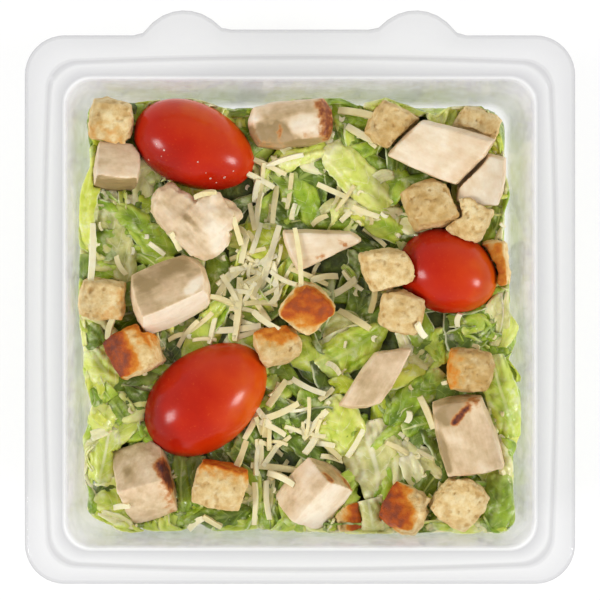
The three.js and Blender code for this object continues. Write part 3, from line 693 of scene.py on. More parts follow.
# How each piece of chicken looks, see make_chicken.
CHICKEN = {
    1: {
        "grain": (0.9, -0.4, 0),
        "faces": [((-0.15, -0.17, 0.97), 0.35), ((0.32, 0.92, 0.2), 0.4)],
        "tones": [((44, 33, 38), (52.5, 43, 38), 2.4, -0.3)],
    },
    2: {
        "grain": (1, 0.1, 0),
        "faces": [((0, 0, 1), 0.3)],
        "marks": [
            ((11.0, 15.8, 38), (12.6, 14.6, 38), 0.9, 0.55), ((5.2, 11.4, 38), (6.6, 11.2, 38), 0.8, 0.42),
        ],
        "tear": 0.08,
    },
    3: {"grain": (0.5, 0.85, 0), "faces": [((0, 0, 1), -0.4)]},
    4: {
        "grain": (0.7, 0.7, 0),
        "faces": [((-0.62, 0.24, 0.75), 0.1), ((0.49, -0.64, 0.6), 0.7), ((0.61, 0.74, 0.28), -0.9)],
        "marks": [
            ((4.1, -44.2, 41), (8.9, -51.0, 41), 0.9, 0.8), ((8.0, -45.1, 36), (15.6, -54.2, 34), 1.2, 0.6),
            ((15.8, -57.5, 34), (14.6, -60.0, 32), 0.9, 0.7),
        ],
    },
    5: {
        "grain": (0.7, -0.7, 0),
        "faces": [((0.2, -0.3, 0.93), -0.2)],
        "tones": [
            ((-31.6, 22.3, 40), (-25.1, 16.8, 40), 0.9, -1.6), ((-40, 27, 38), (-33, 20, 38), 3.5, -0.05),
            ((-26, 25, 38), (-22, 15, 38), 3.6, 1.0),
        ],
        "tear": 0.7,
    },
    6: {
        "grain": (1, 0.35, 0),
        "faces": [((-0.09, 0.44, 0.9), -0.65), ((0.37, -0.82, 0.44), 1.1)],
        "tones": [
            ((-44, 4, 40), (-33, 10, 41), 3.0, -0.7), ((-30.5, 2, 42), (-27.5, 6, 42), 1.6, 1.4),
            ((-33, 10, 42), (-29, 9, 42), 1.4, 1.0),
        ],
        "tear": 0.06,
    },
    7: {
        "grain": (0.3, -1, 0),
        "faces": [((0, 0, 1), -0.2)],
        "tones": [
            ((40.2, -33.5, 40), (45.5, -27.5, 40), 3.2, -1.5), ((38.7, -38, 39), (41.4, -48, 39), 1.2, -1.0),
        ],
        "marks": [
            ((43.1, -34.8, 41), (46.4, -30.8, 41), 1.1, 0.88),
            ((46.8, -30.4, 41), (49.8, -27.6, 41), 2.1, 0.45),
        ],
    },
    8: {
        "grain": (0.1, 1, 0),
        "faces": [((0.12, -0.71, 0.7), -0.2), ((-0.26, 0.65, 0.71), -0.3), ((0.96, 0.2, 0.1), -0.8)],
        "tones": [((-50.5, -43, 40), (-48.5, -48, 40), 1.8, -0.8)],
        "marks": [
            ((-37.4, -47.2, 40), (-35.4, -52.0, 39), 2.6, 1.0),
            ((-36.4, -54, 38), (-36.0, -63.5, 36), 2.2, 0.34),
        ],
        "tear": 0.06,
    },
    9: {
        "grain": (1, 0.2, 0),
        # The second face and the last streak below are darker: painted shade on the lower side.
        "faces": [((0, 0, 1), -0.2), ((0, -1, 0.2), -1.2)],
        "tones": [
            ((-14.5, 50.5, 40), (-12, 48, 40), 3.0, 1.2), ((-2, 48, 40), (4, 48.5, 40), 3.0, 1.0),
            ((-9, 50, 40), (-4, 52, 40), 3.0, -0.7), ((-13, 43.5, 36), (-5, 43.5, 36), 4.6, -3.2),
        ],
        "marks": [
            ((7.6, 53.5, 38), (9.0, 45.0, 37), 2.9, 0.66), ((-12, 42, 35), (-6, 42, 35), 2.6, 0.2),
            ((-5.2, 48.4, 40), (-5.8, 45.0, 39), 0.7, 0.4), ((1.6, 45.4, 39), (3.0, 45.0, 39), 0.9, 0.32),
        ],
        "tear": 0.15,
    },
    10: {
        "grain": (0, 1, 0.3),
        "faces": [((0, 0, 1), 0.6)],
        "marks": [((43, 38.5, 38), (51, 38.5, 38), 1.0, 0.3)],
        "tear": 0.15,
    },
    11: {
        "grain": (1, 0, 0),
        # The second face is darker: painted shade on the front.
        "faces": [((0.18, 0.33, 0.93), -0.15), ((-0.03, -0.94, 0.34), -1.7)],
        "tones": [((-55.5, 33, 40), (-47, 33, 40), 0.8, 0.9)],
    },
}


def make_chicken(number, material, grain, faces=(), tones=(), marks=(), tear=0.0):
    """grain: direction of the fibres. faces: (direction, how light) of its sides, partly the meat's own cut
    and outer faces and partly painted light and shade. tones: (start, end, radius, how light) of lighter and
    darker streaks,
    partly painted light and shade. marks: (start, end, radius, how dark) of what is browned.
    tear: mm that it's ragged by."""
    node = f"chicken_{number}"
    points, normals, quads, edge = remeshed(node, MEAT_GRID)
    along = unit(grain)
    lengthwise = np.outer(points @ along, along)
    fibre = points - lengthwise + lengthwise * STRETCHED
    push = 0.16 * rough_noise(points, 6.0, number, 2) + 0.1 * rough_noise(fibre, 1.5, 60 + number, 2)
    push += 0.08 * rough_noise(points, 1.6, 70 + number, 2) - 0.22 * edge * noise(points, 3.0, 50 + number)
    push += tear * rough_noise(points, 3.2, 80 + number, 3)
    wobble = rough_noise(points, 2.2, 90 + number, 2)
    tone = 0.3 * edge
    # Lighter and darker faces and streaks: partly the meat's own colour, partly painted light and shade.
    for direction, light in faces:
        tone = tone + light * smoothstep(0.62, 0.92, normals @ unit(direction) + 0.05 * wobble)
    for start, end, radius, light in tones:
        reach = off_segment(points, start, end) / radius + 0.25 * wobble
        tone = tone + light * smoothstep(1.4, 0.4, reach)
    brown = np.zeros(len(points))
    for start, end, radius, dark in marks:
        reach = off_segment(points, start, end) / radius + 0.28 * wobble
        brown = np.maximum(brown, dark * smoothstep(1.7, 0.3, reach))
    data = {"brown": brown, "tone": tone, "fibre": fibre * MM}
    add_piece(node + "_meat", points + normals * push[:, None], quads, material, [node], data)


EGG, LUMPS = 0.07, 0.012  # how much a tomato narrows to one end, and how lumpy it is
# Which way each tomato turns orange; its deep red towards the other side is partly painted shade.
RIPE_AND_SHADE_SIDES = {1: (0.6, 0.8, 0.1), 2: (0.85, -0.1, 0.1), 3: (0.65, -0.15, 0.1)}


def make_tomato(number, material):
    """The node's egg, round and smooth."""
    node = f"tomato_{number}"
    points = np.array([v.co for v in NODES[node].data.vertices]) / MM
    low, high = points.min(axis=0), points.max(axis=0)
    centre = (low + high) / 2
    _, _, axes = np.linalg.svd(points - centre, full_matrices=False)
    if axes[0][0] < 0:
        axes[0] = -axes[0]
    axes[2] = np.cross(axes[0], axes[1])
    local = (points - centre) @ axes.T
    half = (local.max(axis=0) - local.min(axis=0)) / 2
    half[1:] = half[1:].mean() * 1.01
    along, around = 48, 72
    verts = []
    for i in range(1, along):
        a = math.pi * (i / along - 0.5)
        for j in range(around):
            b = 2 * math.pi * j / around
            r = math.cos(a) * (1 - EGG * math.sin(a))
            verts.append([half[0] * math.sin(a), half[1] * r * math.cos(b), half[2] * r * math.sin(b)])
    verts += [[-half[0], 0, 0], [half[0], 0, 0]]
    last = (along - 2) * around
    faces = [face for ring in range(0, last, around) for face in band(ring, ring + around, around)]
    for j in range(around):
        after = (j + 1) % around
        faces += [[len(verts) - 2, after, j], [len(verts) - 1, last + j, last + after]]
    verts = np.array(verts)
    lumps = noise(verts + 50 * number, 16.0, number)
    verts = verts * (1 + LUMPS * lumps[:, None]) @ axes
    # Orange towards one side, deep red towards the other; the deep red is partly painted shade.
    towards = verts @ np.array(RIPE_AND_SHADE_SIDES[number]) / half[0]
    ripe_and_shade = 0.37 + 0.52 * towards + 0.12 * noise(verts, 9.0, 20 + number)
    add_piece(node + "_fruit", verts + centre, faces, material, [node], {"ripe_and_shade": ripe_and_shade})


# ---------------------------------------------------------------- the heap's relief


class Relief:
    """Heights over the tray on a square grid, which rise as things are laid down."""

    HALF, STEP = 66.0, 0.5

    def __init__(self, height_at):
        self.xs = np.arange(-self.HALF, self.HALF + self.STEP / 2, self.STEP)
        self.ys = self.xs + WELL_Y
        x, y = np.meshgrid(self.xs, self.ys, indexing="ij")
        self.z = height_at(x, y)

    def index(self, x, y):
        return tuple(
            np.clip(((place - line[0]) / self.STEP).round().astype(int), 0, len(line) - 1)
            for place, line in ((x, self.xs), (y, self.ys))
        )

    def at(self, x, y):
        return self.z[self.index(x, y)]

    def lay(self, points):
        np.maximum.at(self.z, self.index(points[:, 0], points[:, 1]), points[:, 2])


def core_top(x, y):
    """How high the salad is under the leaves that show: highest at the walls."""
    reach = np.maximum(np.abs(x), np.abs(y - WELL_Y)) / WELL_HALF
    points = np.stack([x, y, np.zeros_like(x)], axis=-1)
    return HEAP_MIDDLE + (HEAP_EDGE - HEAP_MIDDLE) * reach**3 + HEAP_BUMP * noise(points, 17.0, 3) - 1.5


def topping_tops():
    """Gives the height of the highest topping over a place, or minus infinity."""
    tree = mesh_tree(node for name, node in NODES.items() if name not in ("tray", "salad"))

    def height(x, y):
        place = fall_on(tree, x, y)[0]
        return place.z if place else -math.inf

    return height


def make_core(material):
    """A block under the leaves, so that no gap shows the tray's floor. It keeps off the walls."""
    steps = 60
    grid = np.linspace(-1, 1, steps + 1)
    u, v = np.meshgrid(grid, grid, indexing="ij")
    half = well_half(22) - CORE_INSET
    x, y = u * half, v * half + WELL_Y
    rim = smoothstep(0.84, 1.0, np.maximum(np.abs(u), np.abs(v)))
    top = np.stack([x, y, core_top(x, y) - CORE_SUNK - CORE_RIM_DROP * rim], axis=-1)
    half = well_half(CORE_BOTTOM) - CORE_INSET
    bottom = np.stack([u * half, v * half + WELL_Y, np.full_like(u, CORE_BOTTOM)], axis=-1)
    verts = np.concatenate([top.reshape(-1, 3), bottom.reshape(-1, 3)])
    add_piece("salad_core", verts, sheet_faces(steps, steps), material)


# ---------------------------------------------------------------- the leaves


def spline(places, t):
    """A smooth curve through places that follow each other evenly from 0 to 1."""
    places = np.asarray(places, float)
    spans = len(places) - 1
    k = np.clip((t * spans).astype(int), 0, spans - 1)
    f = (t * spans - k)[:, None]
    before, after = np.maximum(k - 1, 0), np.minimum(k + 2, spans)
    p0, p1, p2, p3 = places[before], places[k], places[k + 1], places[after]
    return p1 + f / 2 * (p2 - p0 + f * (2 * p0 - 5 * p1 + 4 * p2 - p3 + f * (3 * (p1 - p2) + p3 - p0)))


VEINS_APART, PLEATS_APART = 3.4, 3.2  # mm from one to the next on a leaf
QUILTED, PLEATED, PUCKERED = 0.5, 1.2, 0.9  # how high each of them is, and the unevenness besides
RAGGED, FRAYED = 0.22, 0.1  # how much a leaf's width varies, as shares of it
RIB_HEIGHT, RIB_HALF = 0.2, 0.14  # mm, and as a share of half the width


def leaf_sheet(path, widths, rise, curl, bank, ruffle, crinkle, steps, seed):
    """Points of a piece of leaf along a path, with u from 0 to 1 along it, v from -1 to 1 across it, and how
    high it is puckered there. rise: mm that its middle stands up. curl: degrees that its sides turn up. bank:
    degrees that it leans. ruffle and crinkle: mm that its edges wave and that it's puckered."""
    along, across = steps
    t = np.linspace(0, 1, along + 1)
    spine = spline(path, t)
    tangent = np.gradient(spine, axis=0)
    length = np.linalg.norm(tangent, axis=1).sum()
    tangent /= np.linalg.norm(tangent, axis=1)[:, None] + 1e-9
    u = t[:, None] * np.ones((1, across + 1))
    v = np.ones((along + 1, 1)) * np.linspace(-1, 1, across + 1)[None, :]
    edge = np.stack([u * length, np.sign(v) * 7.0, np.full_like(u, seed * 3.1)], axis=-1)
    half = np.interp(t, np.linspace(0, 1, len(widths)), widths)[:, None] / 2
    half = half * (1 + RAGGED * noise(edge, 4.5, seed) + FRAYED * noise(edge, 1.5, seed + 5))
    half = half * (1 - 0.14 * np.abs(2 * u - 1) ** 9)
    side, up = v * half, 0 * v
    if abs(curl) > 1:
        angle = math.radians(curl) * np.abs(v) + 1e-3
        bend = math.radians(abs(curl) + 0.06)
        side = np.sign(v) * half * np.sin(np.abs(angle)) / bend
        up = np.sign(curl) * half * (1 - np.cos(angle)) / bend
    flat = np.stack([u * length, v * half, np.full_like(u, seed * 5.3)], axis=-1)
    quilt = np.abs(np.sin(np.pi * (u * length / VEINS_APART + 0.8 * np.abs(v))))
    quilt = quilt * np.minimum(1, 2.5 * np.abs(v))
    fan = v * half * (1.15 - 0.3 * u) / PLEATS_APART + 0.9 * noise(flat, 6.0, seed + 30)
    pleat = 2 * np.abs(fan - np.round(fan)) * np.minimum(1, 1.6 * np.abs(v) + 0.2)
    ridge = PUCKERED * rough_noise(flat, 3.2, seed + 9, 3) + QUILTED * quilt + PLEATED * pleat - 0.85
    up = up + crinkle * ridge
    up = up + ruffle * np.abs(v) ** 2 * noise(edge + [0, 0, 40], 4.6, seed + 3) * np.minimum(1, half / 3)
    up = up + RIB_HEIGHT * np.exp(-((v / RIB_HALF) ** 2))
    lean = math.radians(bank)
    side, up = side * math.cos(lean) - up * math.sin(lean), side * math.sin(lean) + up * math.cos(lean)
    across_x, across_y = -tangent[:, 1:2], tangent[:, :1]
    ends = 0.9 * noise(flat + 30, 2.4, seed + 21) * np.abs(2 * u - 1) ** 6
    x = spine[:, :1] + side * across_x + ends * tangent[:, :1]
    y = spine[:, 1:2] + side * across_y + ends * tangent[:, 1:2]
    arch = rise * np.sin(np.pi * (0.08 + 0.84 * u))
    return np.stack([x, y, up + arch], axis=-1), u, v, ridge


def soft_clip(values, low, high, margin=1.2):
    """Values pressed together towards limits instead of cut off there."""
    over = np.maximum(values - (high - margin), 0)
    under = np.maximum((low + margin) - values, 0)
    values = values - over + margin * (1 - np.exp(-over / margin))
    return values + under - margin * (1 - np.exp(-under / margin))


def bays(x, y, z):
    """How far the heap keeps off the west, east, south and north wall beside places in it."""
    rise = smoothstep(5.0, 22.0, z)
    return [
        rise * np.interp(along, *np.transpose(BAYS[wall]))
        for wall, along in (("west", y), ("east", y), ("south", x), ("north", x))
    ]


class Leaves:
    """Lays leaves on the relief and keeps them by kind."""

    THICKNESS = 0.45
    FINE = 0.42  # mm between the points of a leaf that stands out
    UNDER = 1.6  # mm that leaves stay below the tops of the toppings
    LOWEST = 1.2  # the least height of a leaf on the floor
    FOOT = 1.6  # the least height of a leaf against a wall
    GAP = 0.45  # mm that a leaf's middle keeps off the walls, if nothing else does
    WANDER = 0.3  # mm that this gap varies by
    BEND, BEND_MOST = 0.35, 3  # how much a leaf bends after what is under it, and where that ends, in mm
    PAST = 0.02  # the share of a leaf that may reach past where it's moved to
    HANG, HANG_FROM = 0.5, 5  # how steeply it hangs at the walls, and how near to them that begins, in mm

    def __init__(self, relief, topping_top):
        self.relief = relief
        self.topping_top = topping_top
        self.piles = {kind: Pile() for kind in LEAF_KINDS}
        self.number = 0

    def sheet(self, *form):
        """The next leaf's points, u, v and ridge."""
        self.number += 1
        return leaf_sheet(*form, self.number)

    def keep(self, grid, u, v, ridge, kind, shade, rib):
        """Adds a leaf to those of its kind."""
        verts = thickened(grid, self.THICKNESS)
        faces = sheet_faces(grid.shape[0] - 1, grid.shape[1] - 1)
        leaf = np.tile(np.stack([u.ravel(), v.ravel(), np.full(u.size, shade)], axis=1), (2, 1))
        rib = np.full(len(verts), float(rib))
        self.piles[kind].add(verts, faces, leaf=leaf, ridge=np.tile(ridge.ravel(), 2), rib=rib)

    def move_in(self, grid, slack):
        """Moves a leaf as a whole until next to nothing of it reaches past the walls or nearer than the
        slack, and lets it hang down a little there."""
        half = well_half(HEAP_EDGE + 3) - 0.3 - slack
        middle = grid.reshape(-1, 3).mean(axis=0) - [0, WELL_Y, 0]
        west, east, south, north = (half - gap for gap in bays(*middle))
        for axis, low, high in ((0, -west, east), (1, WELL_Y - south, WELL_Y + north)):
            values = grid[..., axis]
            grid[..., axis] -= max(0.0, np.quantile(values, 1 - self.PAST) - high)
            grid[..., axis] += max(0.0, low - np.quantile(values, self.PAST))
        out = np.maximum(np.abs(grid[..., 0]), np.abs(grid[..., 1] - WELL_Y))
        out = out - (well_half(HEAP_EDGE) - self.HANG_FROM)
        grid[..., 2] -= self.HANG * np.clip(out, 0, 6)
        return grid

    def confine(self, grid):
        """Keeps a leaf inside the well with its round corners, short of the walls by an uneven gap."""
        half = well_half(np.clip(grid[..., 2], self.LOWEST, SEAT_Z)) - self.GAP
        wander = self.WANDER + self.WANDER * noise(grid * [1, 1, 0.3], 5.0, 77)
        gaps = bays(grid[..., 0], grid[..., 1] - WELL_Y, grid[..., 2])
        west, east, south, north = (half - gap - wander for gap in gaps)
        x = soft_clip(grid[..., 0], -west, east)
        y = soft_clip(grid[..., 1] - WELL_Y, -south, north)
        straight_x = np.where(x > 0, east, west) - WELL_RADIUS
        straight_y = np.where(y > 0, north, south) - WELL_RADIUS
        over_x, over_y = np.maximum(np.abs(x) - straight_x, 0), np.maximum(np.abs(y) - straight_y, 0)
        pull = np.minimum(1, WELL_RADIUS / np.maximum(np.hypot(over_x, over_y), 1e-9))
        grid[..., 0] = np.sign(x) * (np.minimum(np.abs(x), straight_x) + over_x * pull)
        grid[..., 1] = WELL_Y + np.sign(y) * (np.minimum(np.abs(y), straight_y) + over_y * pull)
        return grid

    def lay(self, path, widths, kind, shade, rise, curl, bank=0, ruffle=1.0, crinkle=0.48, sink=0.25,
            over=False, rib=None, steps=None, slack=0.0):
        """One leaf on what lies there already, with a share of it sunk in, and the slack off the walls. over:
        it may lie on the toppings."""
        length = sum(math.dist(a, b) for a, b in zip(path, path[1:]))
        fine = int(np.clip(length / self.FINE, 8, 60)), int(np.clip(max(widths) / self.FINE, 6, 32))
        grid, u, v, ridge = self.sheet(path, widths, rise, curl, bank, ruffle, crinkle, steps or fine)
        grid = self.move_in(grid, slack)
        below = self.relief.at(grid[..., 0], grid[..., 1])
        bend = np.clip(smooth_grid(below - below.mean(), 4), -self.BEND_MOST, self.BEND_MOST)
        grid[..., 2] += self.BEND * bend
        grid[..., 2] -= np.quantile(grid[..., 2] - below, sink)
        grid[..., 2] -= max(0.0, grid[..., 2].max() - HEAP_TOP)
        if not over:
            tops = np.array([self.topping_top(px, py) for px, py, _ in grid.reshape(-1, 3)]).reshape(u.shape)
            limit = np.where(np.isfinite(tops), tops - self.UNDER, math.inf)
            grid[..., 2] = np.minimum(grid[..., 2], limit)
        grid = self.confine(grid)
        self.relief.lay(grid.reshape(-1, 3))
        self.keep(grid, u, v, ridge, kind, shade, rng.random() ** 2 if rib is None else rib)

    def against_wall(self, side, along, z, depth, length, width, spin, kind, top):
        """One leaf flat against a wall of the well."""
        path, widths = crossing(np.zeros(2), spin, length, -0.15, 0.2), [width * 0.6, width, width * 0.5]
        grid, u, v, ridge = self.sheet(path, widths, 0.3, 0, 0, 1.0, 0.5, (11, 6))
        grid[..., 2] = np.minimum(grid[..., 2], 1.0)
        facing = Matrix.Rotation(side * math.pi / 2, 3, "Z")
        grid = grid @ np.array(facing @ Matrix.Rotation(math.pi / 2 - DRAFT, 3, "Y")).T
        out = facing @ Vector((well_half(z) - depth, along, z))
        grid = grid + [out.x, out.y + WELL_Y, out.z]
        grid[..., 2] = np.clip(grid[..., 2], self.FOOT, top + 5 * noise(grid * [1, 1, 0], 13.0, 5))
        self.keep(self.confine(grid), u, v, ridge, kind, rng.random(), rng.random() ** 2)

    def on_floor(self, path, width, z):
        """One leaf flat on the floor of the tray."""
        widths = [width * 0.6, width, width * 0.5]
        grid, u, v, ridge = self.sheet(path, widths, 0, 0, 0, 0.5, 0.3, (10, 6))
        grid[..., 2] = np.clip(grid[..., 2] + z, self.LOWEST, 4.0)
        self.keep(self.confine(grid), u, v, ridge, rng.choice(LEAF_KINDS), rng.random(), rng.random() ** 2)


def smooth_grid(values, times):
    """Values on a grid, evened out."""
    for _ in range(times):
        padded = np.pad(values, 1, mode="edge")
        beside = padded[:-2, 1:-1] + padded[2:, 1:-1] + padded[1:-1, :-2] + padded[1:-1, 2:]
        values = (beside + 2 * values) / 6
    return values


# How far the top of the heap keeps off each wall: (place along the wall, mm).
BAYS = {
    "west": [(-62, 5), (-57, 1.7), (-52, 3), (-45, 1.5), (-33, 1.6), (-26, 4), (-17, 1.2), (0, 0), (32, 0),
             (36, 0.8), (41, 3.4), (50, 2.6)],
    "east": [(-62, 1.6), (-40, 2.6), (-35, 0), (-18, 0), (-13, 4), (-8, 1.2), (-4, 0.3), (0, 3.3), (10, 3.6),
             (18, 5.8), (27, 5.2), (33, 3.4), (41, 4.4), (50, 5.8)],
    "south": [(-58, 4.2), (-52, 2), (-47, 0.4), (-33, 1), (-29, 3.6), (-24, 0.6), (-11, 1.3), (-2, 0),
              (58, 0)],
    "north": [(-56, 1.6), (-47, 3.6), (-38, 2), (-29, 2), (-20, 5), (-11, 5.3), (-2, 2.3), (11, 1.6),
              (16, 3.7), (24, 1.6), (33, 5.3), (38, 7), (42, 4.8), (51, 4.2), (56, 8)],
}

PHOTO_SIDE = 600  # pixels across the photo
HEAP_SURFACE = 38.0  # how high the leaves lie that show from above


def photo_scale(z):
    """Mm to a pixel of the photo at a height."""
    return PHOTO_WIDTH / PHOTO_SIDE * (CAMERA_DISTANCE + HEIGHT - z) / CAMERA_DISTANCE


def on_heap(px, py):
    """Where a place in the photo lies on the heap."""
    scale = photo_scale(HEAP_SURFACE)
    return (px - PHOTO_SIDE / 2) * scale + LOOK_AT[0], (PHOTO_SIDE / 2 - py) * scale + LOOK_AT[1]
